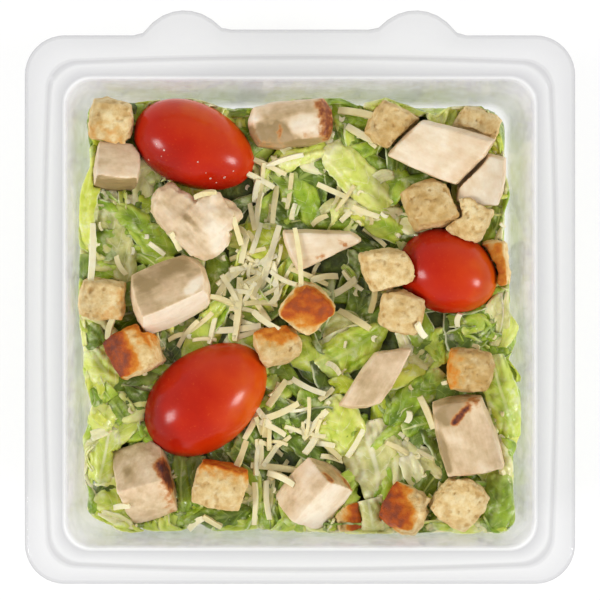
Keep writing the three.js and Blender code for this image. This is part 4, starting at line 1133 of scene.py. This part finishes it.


# The pieces of leaf that stand out, from the lowest to the topmost: kind, how light it is within its kind, mm
# that it rises, degrees that it curls, and the places in the photo that it passes, in pixels, each with the
# leaf's width there. Some have more of their form after that.
# Several of the dark leaves are laid where the heap lies in shade beside and under the toppings: their
# darkness there is painted shade.
HERO_LEAVES = [
    ("bright", 0.85, 1.5, -30, [(88, 150, 10), (80, 185, 20), (75, 215, 22), (81, 249, 14)], {"bank": 18}),
    ("green", 0.5, 0.8, 0, [(81, 157, 6), (96, 147, 9)]),
    ("pale", 0.25, 1, -30, [(103, 190, 20), (108, 218, 28), (117, 250, 30), (124, 284, 20)]),
    ("light", 0.7, 1, 20, [(119, 180, 6), (122, 200, 8), (119, 217, 5)]),
    ("dark", 0.5, 0.8, 0, [(133, 180, 16), (130, 205, 16), (142, 222, 12)]),
    ("green", 0.6, 2.2, -40, [(109, 206, 8), (130, 216, 24), (152, 234, 36), (174, 252, 20)], {"bank": -8}),
    ("green", 0.6, 0.8, 0, [(138, 101, 12), (137, 124, 12)]),
    ("dark", 0.5, 1, -40, [(82, 254, 13), (84, 286, 15)]),
    # A dark leaf in the shade beside a piece of chicken: painted shade.
    ("dark", 0.5, 1, 0, [(174, 236, 14), (198, 254, 12)]),
    ("dark", 0.7, 0.8, 0, [(228, 113, 8), (253, 110, 7)]),
    ("green", 0.4, 1, 0, [(322, 101, 6), (340, 97, 10), (358, 105, 6)]),
    ("bright", 0.2, 1, 0, [(370, 109, 7), (383, 99, 10), (397, 99, 6)]),
    ("green", 0.3, 1, -40, [(336, 124, 14), (355, 118, 18), (374, 124, 12)]),
    # A dark leaf in the shade beneath the leaves above: painted shade.
    ("dark", 0.6, 1, -30, [(344, 134, 20), (357, 150, 28), (372, 168, 20)]),
    ("green", 0.5, 1.5, -40, [(346, 150, 8), (364, 150, 16), (381, 142, 10)]),
    ("dark", 0.9, 1.5, -50, [(364, 158, 16), (388, 170, 18)]),
    ("green", 0.35, 1.5, -40, [(302, 170, 16), (287, 163, 20), (273, 175, 10)]),
    ("dark", 0.5, 0.5, 30, [(316, 176, 18), (320, 208, 14)]),
    ("green", 0.5, 1.5, -40, [(284, 176, 12), (290, 197, 18), (302, 217, 12)]),
    ("green", 0.45, 2.5, -70, [(291, 172, 18), (301, 193, 34), (312, 214, 28), (323, 224, 10)]),
    ("light", 0.75, 3.5, -55, [(326, 146, 20), (346, 160, 38), (367, 183, 44), (387, 209, 22)],
     {"bank": -10, "sink": 0.12}),
    ("light", 0.6, 3.5, -60, [(275, 172, 10), (289, 157, 24), (306, 147, 28), (327, 143, 18)],
     {"bank": -14, "sink": 0.12}),
    ("pale", 0.5, 1.5, -60, [(319, 215, 8), (333, 204, 13), (352, 202, 8)]),
    ("dark", 0.9, 1.5, -60, [(309, 223, 12), (331, 221, 17), (354, 221, 12)]),
    ("green", 0.9, 2, -45, [(360, 212, 10), (380, 222, 24), (398, 230, 26), (410, 225, 12)], {"ruffle": 1.8}),
    ("bright", 0.9, 1, 0, [(342, 208, 5), (356, 214, 10), (365, 224, 6)]),
    ("pale", 0.7, 1, 0, [(372, 182, 8), (383, 175, 10), (394, 174, 6)]),
    ("dark", 0.5, 0.8, 0, [(228, 256, 18), (264, 257, 16)]),
    ("bright", 0.6, 2.2, -35, [(228, 240, 18), (250, 240, 30), (272, 243, 34), (294, 240, 26)],
     {"sink": 0.15, "ruffle": 1.4}),
    ("light", 0.9, 1.5, 30, [(262, 225, 4), (281, 226, 7), (301, 221, 4)]),
    ("bright", 0.6, 1.5, 40, [(291, 262, 10), (281, 280, 19), (277, 299, 10)], {"sink": 0.15}),
    ("green", 0.8, 1, 0, [(493, 117, 6), (503, 135, 10), (505, 152, 8)]),
    ("green", 0.7, 0.5, 0, [(510, 176, 6), (515, 195, 7)]),
    ("dark", 0.9, 1.5, -50, [(502, 206, 14), (498, 226, 19), (486, 243, 10)]),
    ("light", 0.4, 0.8, 0, [(444, 105, 6), (463, 100, 7)]),
    ("dark", 0.8, 0.8, 0, [(478, 308, 18), (494, 332, 20)]),
    ("dark", 0.6, 1.5, 50, [(446, 342, 18), (470, 340, 28), (487, 333, 16)]),
    ("green", 0.7, 1, 30, [(446, 323, 8), (458, 321, 14), (463, 333, 6)]),
    ("green", 0.8, 1.5, -30, [(463, 331, 10), (474, 323, 17), (487, 322, 14)]),
    ("pale", 0.45, 1.5, -30, [(502, 288, 14), (504, 318, 16), (495, 347, 10)], {"bank": 14}),
    ("light", 0.6, 1, -20, [(518, 303, 5), (514, 324, 12), (502, 348, 8)], {"bank": 20}),
    ("green", 0.95, 2.5, -40, [(498, 355, 20), (503, 380, 30), (511, 406, 30), (521, 438, 24)],
     {"ruffle": 2.4, "sink": 0.15}),
    ("bright", 0.2, 1, -40, [(512, 360, 6), (523, 369, 10), (520, 382, 6)]),
    ("green", 0.85, 1.5, -30, [(446, 329, 6), (436, 344, 24), (444, 364, 3)], {"sink": 0.15}),
    ("pale", 0.85, 1, -60, [(401, 331, 14), (408, 350, 15), (406, 376, 6)], {"rib": 1}),
    ("pale", 0.3, 0.5, 0, [(408, 346, 12), (420, 358, 18), (432, 366, 8)]),
    # A dark leaf in the shade under the leaf above: painted shade.
    ("dark", 0.7, 1, -30, [(434, 400, 24), (414, 422, 22)]),
    ("green", 0.2, 2.5, -50, [(442, 371, 20), (429, 385, 34), (411, 398, 36), (391, 426, 16)],
     {"sink": 0.15}),
    ("green", 0.15, 1.5, -60, [(403, 431, 16), (416, 427, 23), (431, 423, 16)]),
    # A dark leaf in the shade beneath the leaves above: painted shade.
    ("dark", 0.8, 0.8, 0, [(400, 476, 26), (412, 494, 20)]),
    ("dark", 0.3, 0.8, 0, [(446, 456, 18), (438, 482, 18)]),
    ("pale", 0.45, 2, -25, [(363, 423, 30), (371, 449, 50), (378, 478, 44), (374, 503, 12)], {"sink": 0.15}),
    ("light", 0.5, 2.5, -30, [(326, 400, 22), (339, 424, 46), (349, 457, 34)], {"sink": 0.12, "ruffle": 1.6}),
    ("pale", 0.75, 1.5, -30, [(401, 447, 16), (420, 461, 24), (444, 479, 4)]),
    ("pale", 0.85, 1, 0, [(406, 456, 16), (415, 476, 18), (421, 492, 6)]),
    ("pale", 0.4, 1, -40, [(496, 437, 14), (505, 459, 19), (509, 483, 13)]),
    ("dark", 1, 1, -30, [(510, 482, 10), (515, 504, 14), (514, 526, 10)]),
    ("dark", 0.95, 2.5, -50, [(501, 476, 24), (499, 505, 38), (489, 535, 22)], {"ruffle": 1.6}),
    ("green", 0.7, 0.8, 0, [(434, 527, 6), (456, 529, 7)]),
    ("pale", 0.35, 1, -40, [(368, 500, 26), (375, 534, 28)]),
    ("dark", 0.45, 0.5, 0, [(362, 248, 24), (367, 285, 30), (354, 320, 20)]),
    ("green", 0.7, 1, 0, [(343, 265, 4), (353, 278, 8), (350, 293, 5)]),
    ("pale", 0.2, 0.5, 0, [(322, 337, 18), (345, 325, 26), (371, 334, 18)]),
    ("green", 0.9, 2.2, -50, [(282, 341, 12), (300, 351, 32), (324, 364, 28)], {"over": True, "sink": 0.1}),
    ("green", 0.85, 3, -50, [(316, 369, 20), (340, 357, 40), (363, 343, 34), (385, 327, 10)],
     {"over": True, "sink": 0.1}),
    ("green", 0.9, 2, -70, [(204, 326, 12), (212, 309, 24), (227, 297, 14)], {"sink": 0.15}),
    ("pale", 0.1, 0.8, 0, [(182, 320, 14), (201, 336, 18)]),
    ("dark", 0.6, 1, -30, [(87, 322, 16), (96, 347, 20)]),
    ("light", 0.8, 0.5, 0, [(81, 318, 4), (84, 346, 5)]),
    ("light", 0.45, 2, -30, [(88, 350, 14), (101, 368, 30), (120, 390, 20)]),
    ("pale", 0.9, 0.5, 0, [(130, 381, 11), (148, 397, 12)], {"rib": 1}),
    ("green", 0.6, 1, 0, [(99, 384, 12), (110, 401, 14)]),
    ("dark", 0.9, 1.5, -50, [(110, 400, 20), (125, 422, 24)]),
    ("light", 0.6, 2, -40, [(86, 404, 18), (99, 418, 28), (114, 426, 12)], {"ruffle": 2}),
    ("bright", 0.9, 1.5, 0, [(92, 412, 8), (104, 424, 10)]),
    ("light", 0.3, 2, -50, [(109, 429, 22), (104, 456, 28), (97, 486, 18)]),
    ("light", 1, 1, 30, [(94, 444, 3), (84, 456, 4), (92, 471, 3)]),
    ("pale", 1, 1, 0, [(90, 437, 9), (106, 431, 9)]),
    ("green", 0.2, 1, -50, [(86, 502, 16), (94, 512, 12)]),
    ("light", 0.2, 1.5, -40, [(92, 501, 10), (112, 505, 28), (131, 521, 14)]),
    ("pale", 0.9, 0.5, 0, [(98, 513, 5), (116, 520, 9), (134, 528, 6)]),
    ("dark", 1, 1, -30, [(182, 456, 18), (180, 490, 22), (184, 522, 16)]),
    ("dark", 0.5, 2.2, -60, [(183, 526, 10), (206, 520, 26), (230, 517, 26), (250, 510, 10)]),
    ("light", 0.3, 1, -60, [(256, 472, 8), (258, 503, 9), (255, 531, 7)]),
    ("pale", 0.5, 1, -60, [(271, 478, 8), (268, 503, 10), (266, 527, 7)]),
    ("green", 0.6, 1.5, -50, [(281, 498, 9), (290, 519, 13), (304, 534, 10)]),
    ("green", 0.5, 1, 0, [(262, 503, 7), (265, 531, 9)]),
    ("bright", 0.9, 1, 0, [(266, 413, 4), (285, 413, 7), (306, 400, 6)]),
    ("pale", 0.6, 1, 0, [(291, 408, 9), (298, 432, 11)]),
    ("green", 0.3, 1, 0, [(283, 417, 7), (291, 437, 9)]),
    ("green", 0.2, 1, -30, [(298, 398, 20), (324, 406, 22)]),
    ("bright", 0.7, 1.5, -40, [(322, 392, 12), (342, 386, 18), (358, 396, 10)]),
    # A dark leaf in a shaded spot between the toppings: painted shade.
    ("dark", 0.4, 0.8, 0, [(232, 446, 20), (258, 466, 22)]),
    ("dark", 0.4, 0.8, 0, [(118, 395, 20), (150, 404, 18)]),
]
HERO_SPREAD = 1.22  # a leaf is cut this much wider than shows, because its sides bend over

# Leaves at random. Likely: the share of each kind. Form: each measure's least and most.
FILLER_LAYERS = ((8, (14, 22), (0.5, 0.3, 0.05, 0.05, 0.1)), (9, (12, 19), (0.32, 0.3, 0.08, 0.15, 0.15)))
RIM_BELTS = (((5.5, 9.5), (12, 19), 6.4), ((1.0, 5.0), (8, 14), 5.2))  # mm off the walls, lengths, pitch
RIM_LIKELY = (0.12, 0.24, 0.17, 0.27, 0.2)
WALL_LAYERS = ((2.8, (9, 17, 25), 31.0), (0.6, (5, 12, 19, 24), 27.0))  # mm off the walls, heights, top
WALL_LIKELY = (0.22, 0.32, 0.16, 0.18, 0.12)
FILLER_FORM = {
    "rise": (0.3, 3.0), "curl": (-70, 40), "bank": (-24, 24), "ruffle": (0.8, 2.0), "crinkle": (0.5, 1.0),
    "sink": (0.3, 0.5),
}
RIM_FORM = {
    "rise": (0.3, 2.5), "curl": (-60, 30), "bank": (-16, 16), "ruffle": (0.8, 2.2), "crinkle": (0.5, 1.0),
    "sink": (0.3, 0.55),
}


def any_turn():
    """A random angle."""
    return rng.uniform(0, 2 * math.pi)


def lay_any(leaves, path, width, last, likely, form, steps, loose=0.0):
    """A leaf of random form. last: the least and most share of its width at its end. loose: the root of the
    most mm that it keeps off the walls."""
    widths = [width * rng.uniform(0.3, 0.8), width, width * rng.uniform(*last)]
    kind, shade = rng.choice(LEAF_KINDS, p=likely), rng.random()
    form = {name: rng.uniform(*limits) for name, limits in form.items()}
    slack = rng.uniform(0, loose) ** 2 if loose else 0.0
    leaves.lay(path, widths, kind, shade, steps=steps, slack=slack, **form)


def lay_fillers(leaves, columns, sizes, likely):
    """One leaf to each square of a grid over the heap."""
    half = well_half(30) - 8
    for i in range(columns):
        for j in range(columns):
            x = -half + (i + rng.uniform(0.1, 0.9)) * 2 * half / columns
            y = WELL_Y - half + (j + rng.uniform(0.1, 0.9)) * 2 * half / columns
            length, turn, bow = rng.uniform(*sizes), any_turn(), rng.uniform(-0.5, 0.5)
            path, width = crossing(np.array([x, y]), turn, length, bow), length * rng.uniform(0.35, 0.65)
            lay_any(leaves, path, width, (0.3, 0.9), likely, FILLER_FORM, (15, 8))


def lay_rim(leaves):
    """Two belts of leaves round the heap, the outer one up to the walls."""
    for inward, sizes, pitch in RIM_BELTS:
        for side in range(4):
            facing = side * math.pi / 2
            for along in np.arange(-58, 59, pitch):
                out = well_half(32) - rng.uniform(*inward)
                along += rng.uniform(-2.5, 2.5)
                x = out * math.cos(facing) - along * math.sin(facing)
                y = out * math.sin(facing) + along * math.cos(facing) + WELL_Y
                turn, length, bow = any_turn(), rng.uniform(*sizes), rng.uniform(-0.5, 0.5)
                path, width = crossing(np.array([x, y]), turn, length, bow), length * rng.uniform(0.42, 0.66)
                lay_any(leaves, path, width, (0.2, 0.8), RIM_LIKELY, RIM_FORM, (20, 10), 1.3)


def lay_wall_leaves(leaves):
    """Leaves that stand against the walls, in two layers."""
    for depth, rows, top in WALL_LAYERS:
        for side in range(4):
            for z in rows:
                for along in np.arange(-57, 58, 11.4):
                    leaves.against_wall(
                        side, along + rng.uniform(-5, 5), z + rng.uniform(-3, 3), depth + rng.uniform(0, 1.6),
                        rng.uniform(16, 25), rng.uniform(10, 15), any_turn(),
                        rng.choice(LEAF_KINDS, p=WALL_LIKELY), top,
                    )


def lay_floor_leaves(leaves):
    """Leaves that lie flat on the tray's floor."""
    for x in np.arange(-48, 49, 16):
        for y in np.arange(-48, 49, 16):
            turn, length = any_turn(), rng.uniform(20, 28)
            path = crossing(np.array([x, WELL_Y + y]) + rng.uniform(-4, 4, 2), turn, length)
            leaves.on_floor(path, rng.uniform(12, 18), rng.uniform(1.6, 2.8))


def make_leaves(relief, topping_top):
    leaves = Leaves(relief, topping_top)
    lay_floor_leaves(leaves)
    lay_wall_leaves(leaves)
    for columns, sizes, likely in FILLER_LAYERS:
        lay_fillers(leaves, columns, sizes, likely)
    lay_rim(leaves)
    broader = photo_scale(HEIGHT) * HERO_SPREAD
    for kind, shade, rise, curl, places, *more in HERO_LEAVES:
        path = [on_heap(px, py) for px, py, _ in places]
        widths = [width * broader for *_, width in places]
        leaves.lay(path, widths, kind, shade, rise, curl, **dict(*more))
    for kind, pile in leaves.piles.items():
        pile.piece(f"leaves_{kind}", leaf_material(kind), "salad", ["salad"])


# ---------------------------------------------------------------- the cheese

# The shreds that stand out: x and y of the middle, length, turn.
HERO_SHREDS = [
    (-8.9, 9.3, 23, 74), (-0.6, 10.9, 17, 96), (-17.6, -3.4, 18, 86), (-11.5, 24.5, 10, 82),
    (-14.8, 7.6, 11, 0), (-12.2, -1.6, 13, -56), (-9.4, -6.6, 10, -34), (-18, -8.6, 14, 6),
    (-17.6, 18.6, 9, -72), (-11.2, 32.9, 9, -26), (-7, 26, 11, 82), (-58.4, 11.8, 18, 88),
    (6.8, 5.3, 8, 8), (12.2, 2.8, 9, 33), (15.3, -6.4, 11, -30), (18.5, 24, 8, -23),
    (-6.4, -27, 9, 55), (-8, -44, 9, 55), (4.4, -36, 11, 52), (-7.4, -48, 13, -6),
    (-12.8, -58, 12, 89), (-9, -57, 11, -85), (35.6, -32.4, 10, -66), (15.6, 51.6, 10, -10),
    (17, 45.8, 9, -30), (9, 30, 9, -24), (3.2, -40.6, 8, 60), (-5.2, -51, 9, -24),
    (-11.6, -36, 6, -70), (-9.8, -36.6, 6, 86), (-13.5, -36, 9, 62), (-5.4, -32, 11, 24),
    (-16.5, -44, 8, 70), (-40.2, 13.6, 5.5, -36), (-34.8, 15.6, 6, -62), (-50.2, 9, 6, -62),
    (-26.3, 28.4, 7, 12), (-8.4, 36.6, 10, -24), (-12.2, 30, 7, 80), (-14, 4.8, 7, 30),
    (-7, 0.4, 6, 60), (21, 16.8, 8, -38), (-20.5, 4, 9, 55), (-22, -1, 8, -20),
    (-53, -9, 6, 78), (9.4, -20, 5, -40), (15.5, -41, 9, 60), (-15.8, 13.4, 8, 78),
    (27.2, -42.4, 7, -28), (30.4, -33.6, 3.4, 80), (-29, -63.6, 6, 38), (-24.6, -63, 6, -30),
    (-49.8, -58.6, 5, 10), (20.4, -1.2, 7, 78), (33.8, -9.2, 5, -60), (44.6, -6.4, 4, 80),
]


def shred(length, width, thickness, curve, twist, seed):
    """Points of a strip along X with square corners, its middle at the origin."""
    along = max(4, int(length / 1.2))
    ring = np.array([(-1, -1), (1, -1), (1, 1), (-1, 1)])
    verts = []
    for i in range(along + 1):
        t = i / along - 0.5
        taper = 1 - 0.08 * abs(2 * t) ** 4
        uneven = 1 + 0.1 * float(noise([[t * length, seed, 0]], 2.5, seed)[0])
        angle = twist * t
        for a, b in ring:
            y, z = a * width / 2 * taper * uneven, b * thickness / 2 * taper
            side = y * math.cos(angle) - z * math.sin(angle) + curve * (4 * t * t - 1)
            verts.append([t * length, side, y * math.sin(angle) + z * math.cos(angle)])
    faces = [[0, 3, 2, 1]]
    for i in range(along):
        faces += band(4 * i, 4 * (i + 1), 4)
    end = 4 * along
    faces.append([end, end + 1, end + 2, end + 3])
    return np.array(verts), faces


def surface_tree():
    """What cheese and dressing fall on: leaves and toppings."""
    shown = (piece for piece in bpy.data.objects if piece.type == "MESH" and not piece.hide_render)
    return mesh_tree(piece for piece in shown if piece.name != "tray_sheet")


# Cheese at random: the middle of a patch, how far it spreads and how many shreds are tried there.
PATCHES = (((-12, 7), (10, 13), 76), ((-3, -38), (8, 8), 30), ((0, -5), (30, 30), 38))
CRUMBS = 110
CHEESE_HALF = 58  # how far from the middle it may lie
CHEESE_TOP = HEAP_TOP + 0.5  # how high
STEEPEST = 0.5  # how much a shred may rise along its length


def make_cheese(topping_top):
    tree = surface_tree()
    pile = Pile()
    number = 0

    def drop(x, y, length, turn, width, thickness, on_toppings=False):
        """Lays a shred along what is under it."""
        nonlocal number
        number += 1
        turn = math.radians(turn)
        shares = np.linspace(-0.48, 0.48, 7) * length
        heights = []
        for s in shares:
            px, py = x + s * math.cos(turn), y + s * math.sin(turn)
            hit = fall_on(tree, px, py)[0]
            if hit is None or (not on_toppings and math.isfinite(topping_top(px, py))):
                return
            heights.append(hit.z)
        slope = (np.mean(heights[4:]) - np.mean(heights[:3])) / (length * 0.55)
        slope = float(np.clip(slope, -STEEPEST, STEEPEST))
        rest = float(np.quantile(np.array(heights) - slope * shares, 0.8))
        curve, twist = rng.uniform(-0.6, 0.6), rng.uniform(-0.8, 0.8)
        verts, faces = shred(length, width, thickness, curve, twist, number)
        spin = Euler((rng.uniform(-0.4, 0.4), -math.atan(slope), turn), "XYZ").to_matrix()
        verts = verts @ np.array(spin).T + [x, y, min(rest + thickness * 0.35, CHEESE_TOP)]
        pile.add(verts, faces, tint=np.full(len(verts), rng.random()))

    def drop_any(x, y, length, width, thickness):
        """A shred with random measures between limits."""
        drop(x, y, *(rng.uniform(*limits) for limits in (length, (0, 360), width, thickness)))

    for x, y, length, turn in HERO_SHREDS:
        drop(x, y, length, turn, rng.uniform(1.3, 1.85), rng.uniform(1.0, 1.3), True)
    for middle, spread, count in PATCHES:
        for _ in range(count):
            x, y = rng.normal(middle, spread)
            if abs(x) < CHEESE_HALF and abs(y - WELL_Y) < CHEESE_HALF:
                drop_any(x, y, (4, 12), (0.9, 1.6), (0.7, 1.1))
    for _ in range(CRUMBS):
        x, y = rng.uniform(-CHEESE_HALF, CHEESE_HALF), WELL_Y + rng.uniform(-CHEESE_HALF, CHEESE_HALF)
        drop_any(x, y, (0.8, 2.6), (0.6, 1.2), (0.5, 0.9))
    pile.piece("cheese_shreds", cheese_material(), "salad", smooth=False)


# Specks of dressing on the first tomato: x, y and radius.
DROPS = [
    (-37.8, 40.9, 0.32), (-42.3, 38.4, 0.26), (-28.4, 37.6, 0.24), (-25.0, 33.1, 0.34), (-21.1, 33.4, 0.36),
    (-23.4, 32.0, 0.2), (-39.9, 42.6, 0.2), (-38.6, 39.2, 0.18), (-18.6, 35.2, 0.22), (-26.2, 34.6, 0.18),
]


def make_drops():
    """Low round caps of dressing."""
    tree = surface_tree()
    pile = Pile()
    around = 12
    for x, y, size in DROPS:
        place, normal = fall_on(tree, x, y)
        side = normal.orthogonal().normalized()
        other = normal.cross(side)
        verts = [place + normal * size * 0.45]
        for radius, height in ((0.5, 0.38), (0.85, 0.18), (1.0, -0.15)):
            for k in range(around):
                turn = 2 * math.pi * k / around
                out = side * math.cos(turn) * 1.2 + other * math.sin(turn)
                verts.append(place + (out * radius + normal * height) * size)
        low_ring = 1 + 2 * around
        verts.append(place - normal * size * 0.3)
        faces = []
        for k in range(around):
            after = (k + 1) % around
            faces.append([0, 1 + k, 1 + after])
            faces.append([len(verts) - 1, low_ring + after, low_ring + k])
            for a in (1, 1 + around):
                b = a + around
                faces += [[a + k, b + k, b + after], [a + k, b + after, a + after]]
        pile.add(np.array(verts), faces)
    pile.piece("dressing_drops", drop_material(), "salad")


# ---------------------------------------------------------------- the stage

PHOTO_WIDTH = 165.4  # what the picture shows across, at the height of the flange
CAMERA_DISTANCE = 900.0  # above the flange
LOOK_AT = (0.0, -0.8)
OVERHEAD, AROUND = 0.42, 0.95  # brightness of the studio above and at eye level
FLOOR_HALF = 3.0  # metres
SOFTBOXES = {"left": ((-1.36, -0.42, 0.95), 0.48, 13.5), "right": ((1.36, -0.5, 0.8), 0.41, 12.5)}
AIM = (0, 0, 0.03)  # what the lamps face


def make_floor():
    mesh = bpy.data.meshes.new("floor")
    far = FLOOR_HALF
    mesh.from_pydata([(-far, -far, 0), (far, -far, 0), (far, far, 0), (-far, far, 0)], [], [(0, 1, 2, 3)])
    mesh.materials.append(floor_material())
    floor = show("floor", mesh)


def make_studio():
    """White all round, darker above, with two softboxes."""
    world = bpy.data.worlds.new("studio")
    world.use_nodes = True
    nodes = Nodes(world.node_tree)
    up = nodes.split(nodes.add("TexCoord", output="Generated"))[2]
    background = world.node_tree.nodes["Background"]
    nodes.put(background.inputs["Color"], grey(1))
    nodes.put(background.inputs["Strength"], up * (OVERHEAD - AROUND) + AROUND)
    bpy.context.scene.world = world
    for name, (place, size, watts) in SOFTBOXES.items():
        light = bpy.data.lights.new(name, "AREA")
        light.shape, light.size, light.energy = "SQUARE", size, watts
        lamp = show(name, light)
        lamp.location = place
        lamp.rotation_euler = (Vector(AIM) - Vector(place)).to_track_quat("-Z", "Y").to_euler()


def make_camera():
    """A camera that looks straight down, as in the photo."""
    data = bpy.data.cameras.new("camera")
    data.sensor_width = 36
    data.lens = data.sensor_width * CAMERA_DISTANCE / PHOTO_WIDTH
    data.clip_end = 10
    camera = show("camera", data)
    camera.location = (LOOK_AT[0] * MM, LOOK_AT[1] * MM, (HEIGHT + CAMERA_DISTANCE) * MM)
    bpy.context.scene.camera = camera
    bpy.context.scene.view_settings.view_transform = "Standard"


def main():
    make_camera()
    make_floor()
    make_studio()
    make_tray()
    bread, meat, fruit = crouton_material(), chicken_material(), tomato_material()
    for number in range(1, 18):
        make_crouton(number, bread, CRUSTS.get(number, ()), TANNED.get(number, 0.0))
    for number, form in CHICKEN.items():
        make_chicken(number, meat, **form)
    for number in (1, 2, 3):
        make_tomato(number, fruit)
    make_core(core_material())
    topping_top = topping_tops()
    make_leaves(Relief(core_top), topping_top)
    make_cheese(topping_top)
    make_drops()


main()
